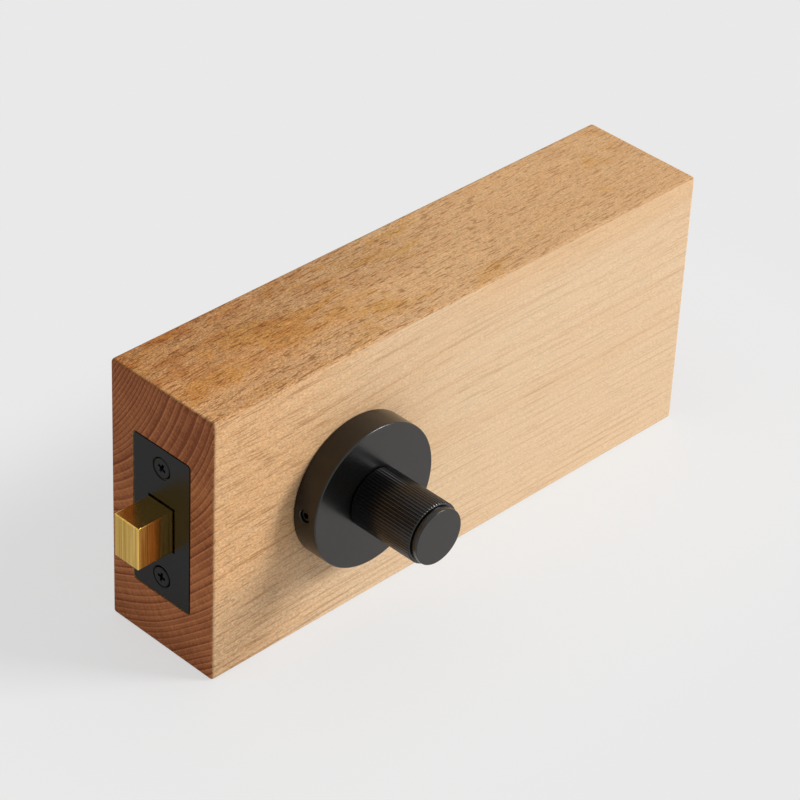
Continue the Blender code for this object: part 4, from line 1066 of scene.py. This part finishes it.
def square_hole(piece, near_y, far_y):
    """A square hole for the spindle, between two places on the turn's axis."""
    hole = (spindle_high.x - spindle_low.x) / 2 + FIT
    low, high = sorted((near_y, far_y))
    start, end = (TURN_X - hole, low, TURN_Z - hole), (TURN_X + hole, high, TURN_Z + hole)
    carve(piece, new_box("square", start, end))


square_hole(knob, knob_high.y + PAST, spindle_low.y - AIR)
finish_piece(knob, "thumb_turn", ["knob"], satin_black, angle=40)

# %% [markdown]
# ## The end cap
#
# A smooth cap closes the knob. It is a little narrower than the knurl, which leaves a dark step
# between the two, and its face has the same satin as the rose.

# %% End cap
CAP_EDGE = 0.00022
CAP_TRIM = 0.0003
CAP_RADIUS = (cap_high.x - cap_low.x) / 2 - CAP_TRIM
CAP_START = KNOB_END - AIR
CAP_SPIGOT_RADIUS = CAP_BORE_RADIUS - FIT

start, end = axis_point(CAP_START), axis_point(cap_low.y)
cap = new_round("black_end_cap", start, end, CAP_RADIUS, sides=ROSE_SIDES)
with editing(cap):
    pick(cap, "EDGE", lambda point: abs(point.y - cap_low.y) < NEAR)
    bpy.ops.mesh.bevel(offset=CAP_EDGE, segments=6, affect="EDGES")
    pick(cap, "EDGE", lambda point: abs(point.y - CAP_START) < NEAR)
    bpy.ops.mesh.bevel(offset=SHARP_EDGE, segments=2, affect="EDGES")
    pick(cap, "FACE", lambda point: abs(point.y - CAP_START) < NEAR, facing=(0, 1, 0))
    bpy.ops.mesh.inset(thickness=CAP_RADIUS - SHARP_EDGE - CAP_SPIGOT_RADIUS)
    move_selected((0, cap_high.y - CAP_START, 0))
finish_piece(cap, "thumb_turn", ["knob_end_cap"], satin_black)

# %% [markdown]
# ## The coin release
#
# On the far side of the door a coin turns the lock in an emergency: a low disc with a slot.

# %% Coin release
SLOT_WIDTH = 0.0018
SLOT_LENGTH = 0.012
SLOT_DEPTH = 0.0022
RELEASE_EDGE = 0.0004

release_low, release_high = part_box("release_turn")
RELEASE_RADIUS = (release_high.x - release_low.x) / 2
back_rose_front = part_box("back_rose_cover")[1].y
back_clip_low, back_clip_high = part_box("back_circlip")
flange_back = back_rose_front - ROSE_TOP
release = new_round(
    "black_coin_release", axis_point(flange_back), axis_point(release_high.y), RELEASE_RADIUS, sides=192
)
with editing(release):
    pick(release, "EDGE", lambda point: abs(point.y - release_high.y) < NEAR)
    bpy.ops.mesh.bevel(offset=RELEASE_EDGE, segments=5, affect="EDGES")
    pick(release, "FACE", lambda point: abs(point.y - flange_back) < NEAR, facing=(0, -1, 0))
    bpy.ops.mesh.inset(thickness=RELEASE_RADIUS - SHANK_RADIUS)
    top, bottom = back_clip_high.y + FIT, back_clip_low.y - FIT
    move_selected((0, top - flange_back, 0))
    extrude_to(top, GROOVE_RADIUS, top, SHANK_RADIUS)
    move_selected((0, bottom - top, 0))
    extrude_to(bottom, SHANK_RADIUS, bottom, GROOVE_RADIUS)
    move_selected((0, release_low.y - bottom, 0))
half_slot = Vector((SLOT_WIDTH / 2, 0, SLOT_LENGTH / 2))
slot_low = axis_point(release_high.y - SLOT_DEPTH) - half_slot
slot_high = axis_point(release_high.y + PAST) + half_slot
carve(release, new_box("slot", slot_low, slot_high))
square_hole(release, release_low.y - PAST, spindle_high.y + AIR)
finish_piece(release, "thumb_turn", ["release_turn"], satin_black)

# %% [markdown]
# ## The pieces inside
#
# The bolt case, the follower, the bushes and the clips are hidden in the wood and under the roses.
# Their solids are already right, so they stay as they are and only get their finishes.

# %% Finishes inside
FINISHES = {
    "beech": beech, "black_metal": satin_black, "satin_brass": brass,
    "plated_steel": plated, "cast_zinc": zinc, "white_nylon": nylon,
}
dressed = 0
for row in frame["record"]["subparts"]:
    node = frame["nodes"][row["node"]]
    if not node.hide_render:
        node.data.materials.clear()
        node.data.materials.append(FINISHES[row["material_slot"]])
        dressed += 1
print("nodes that keep their own solids", dressed)
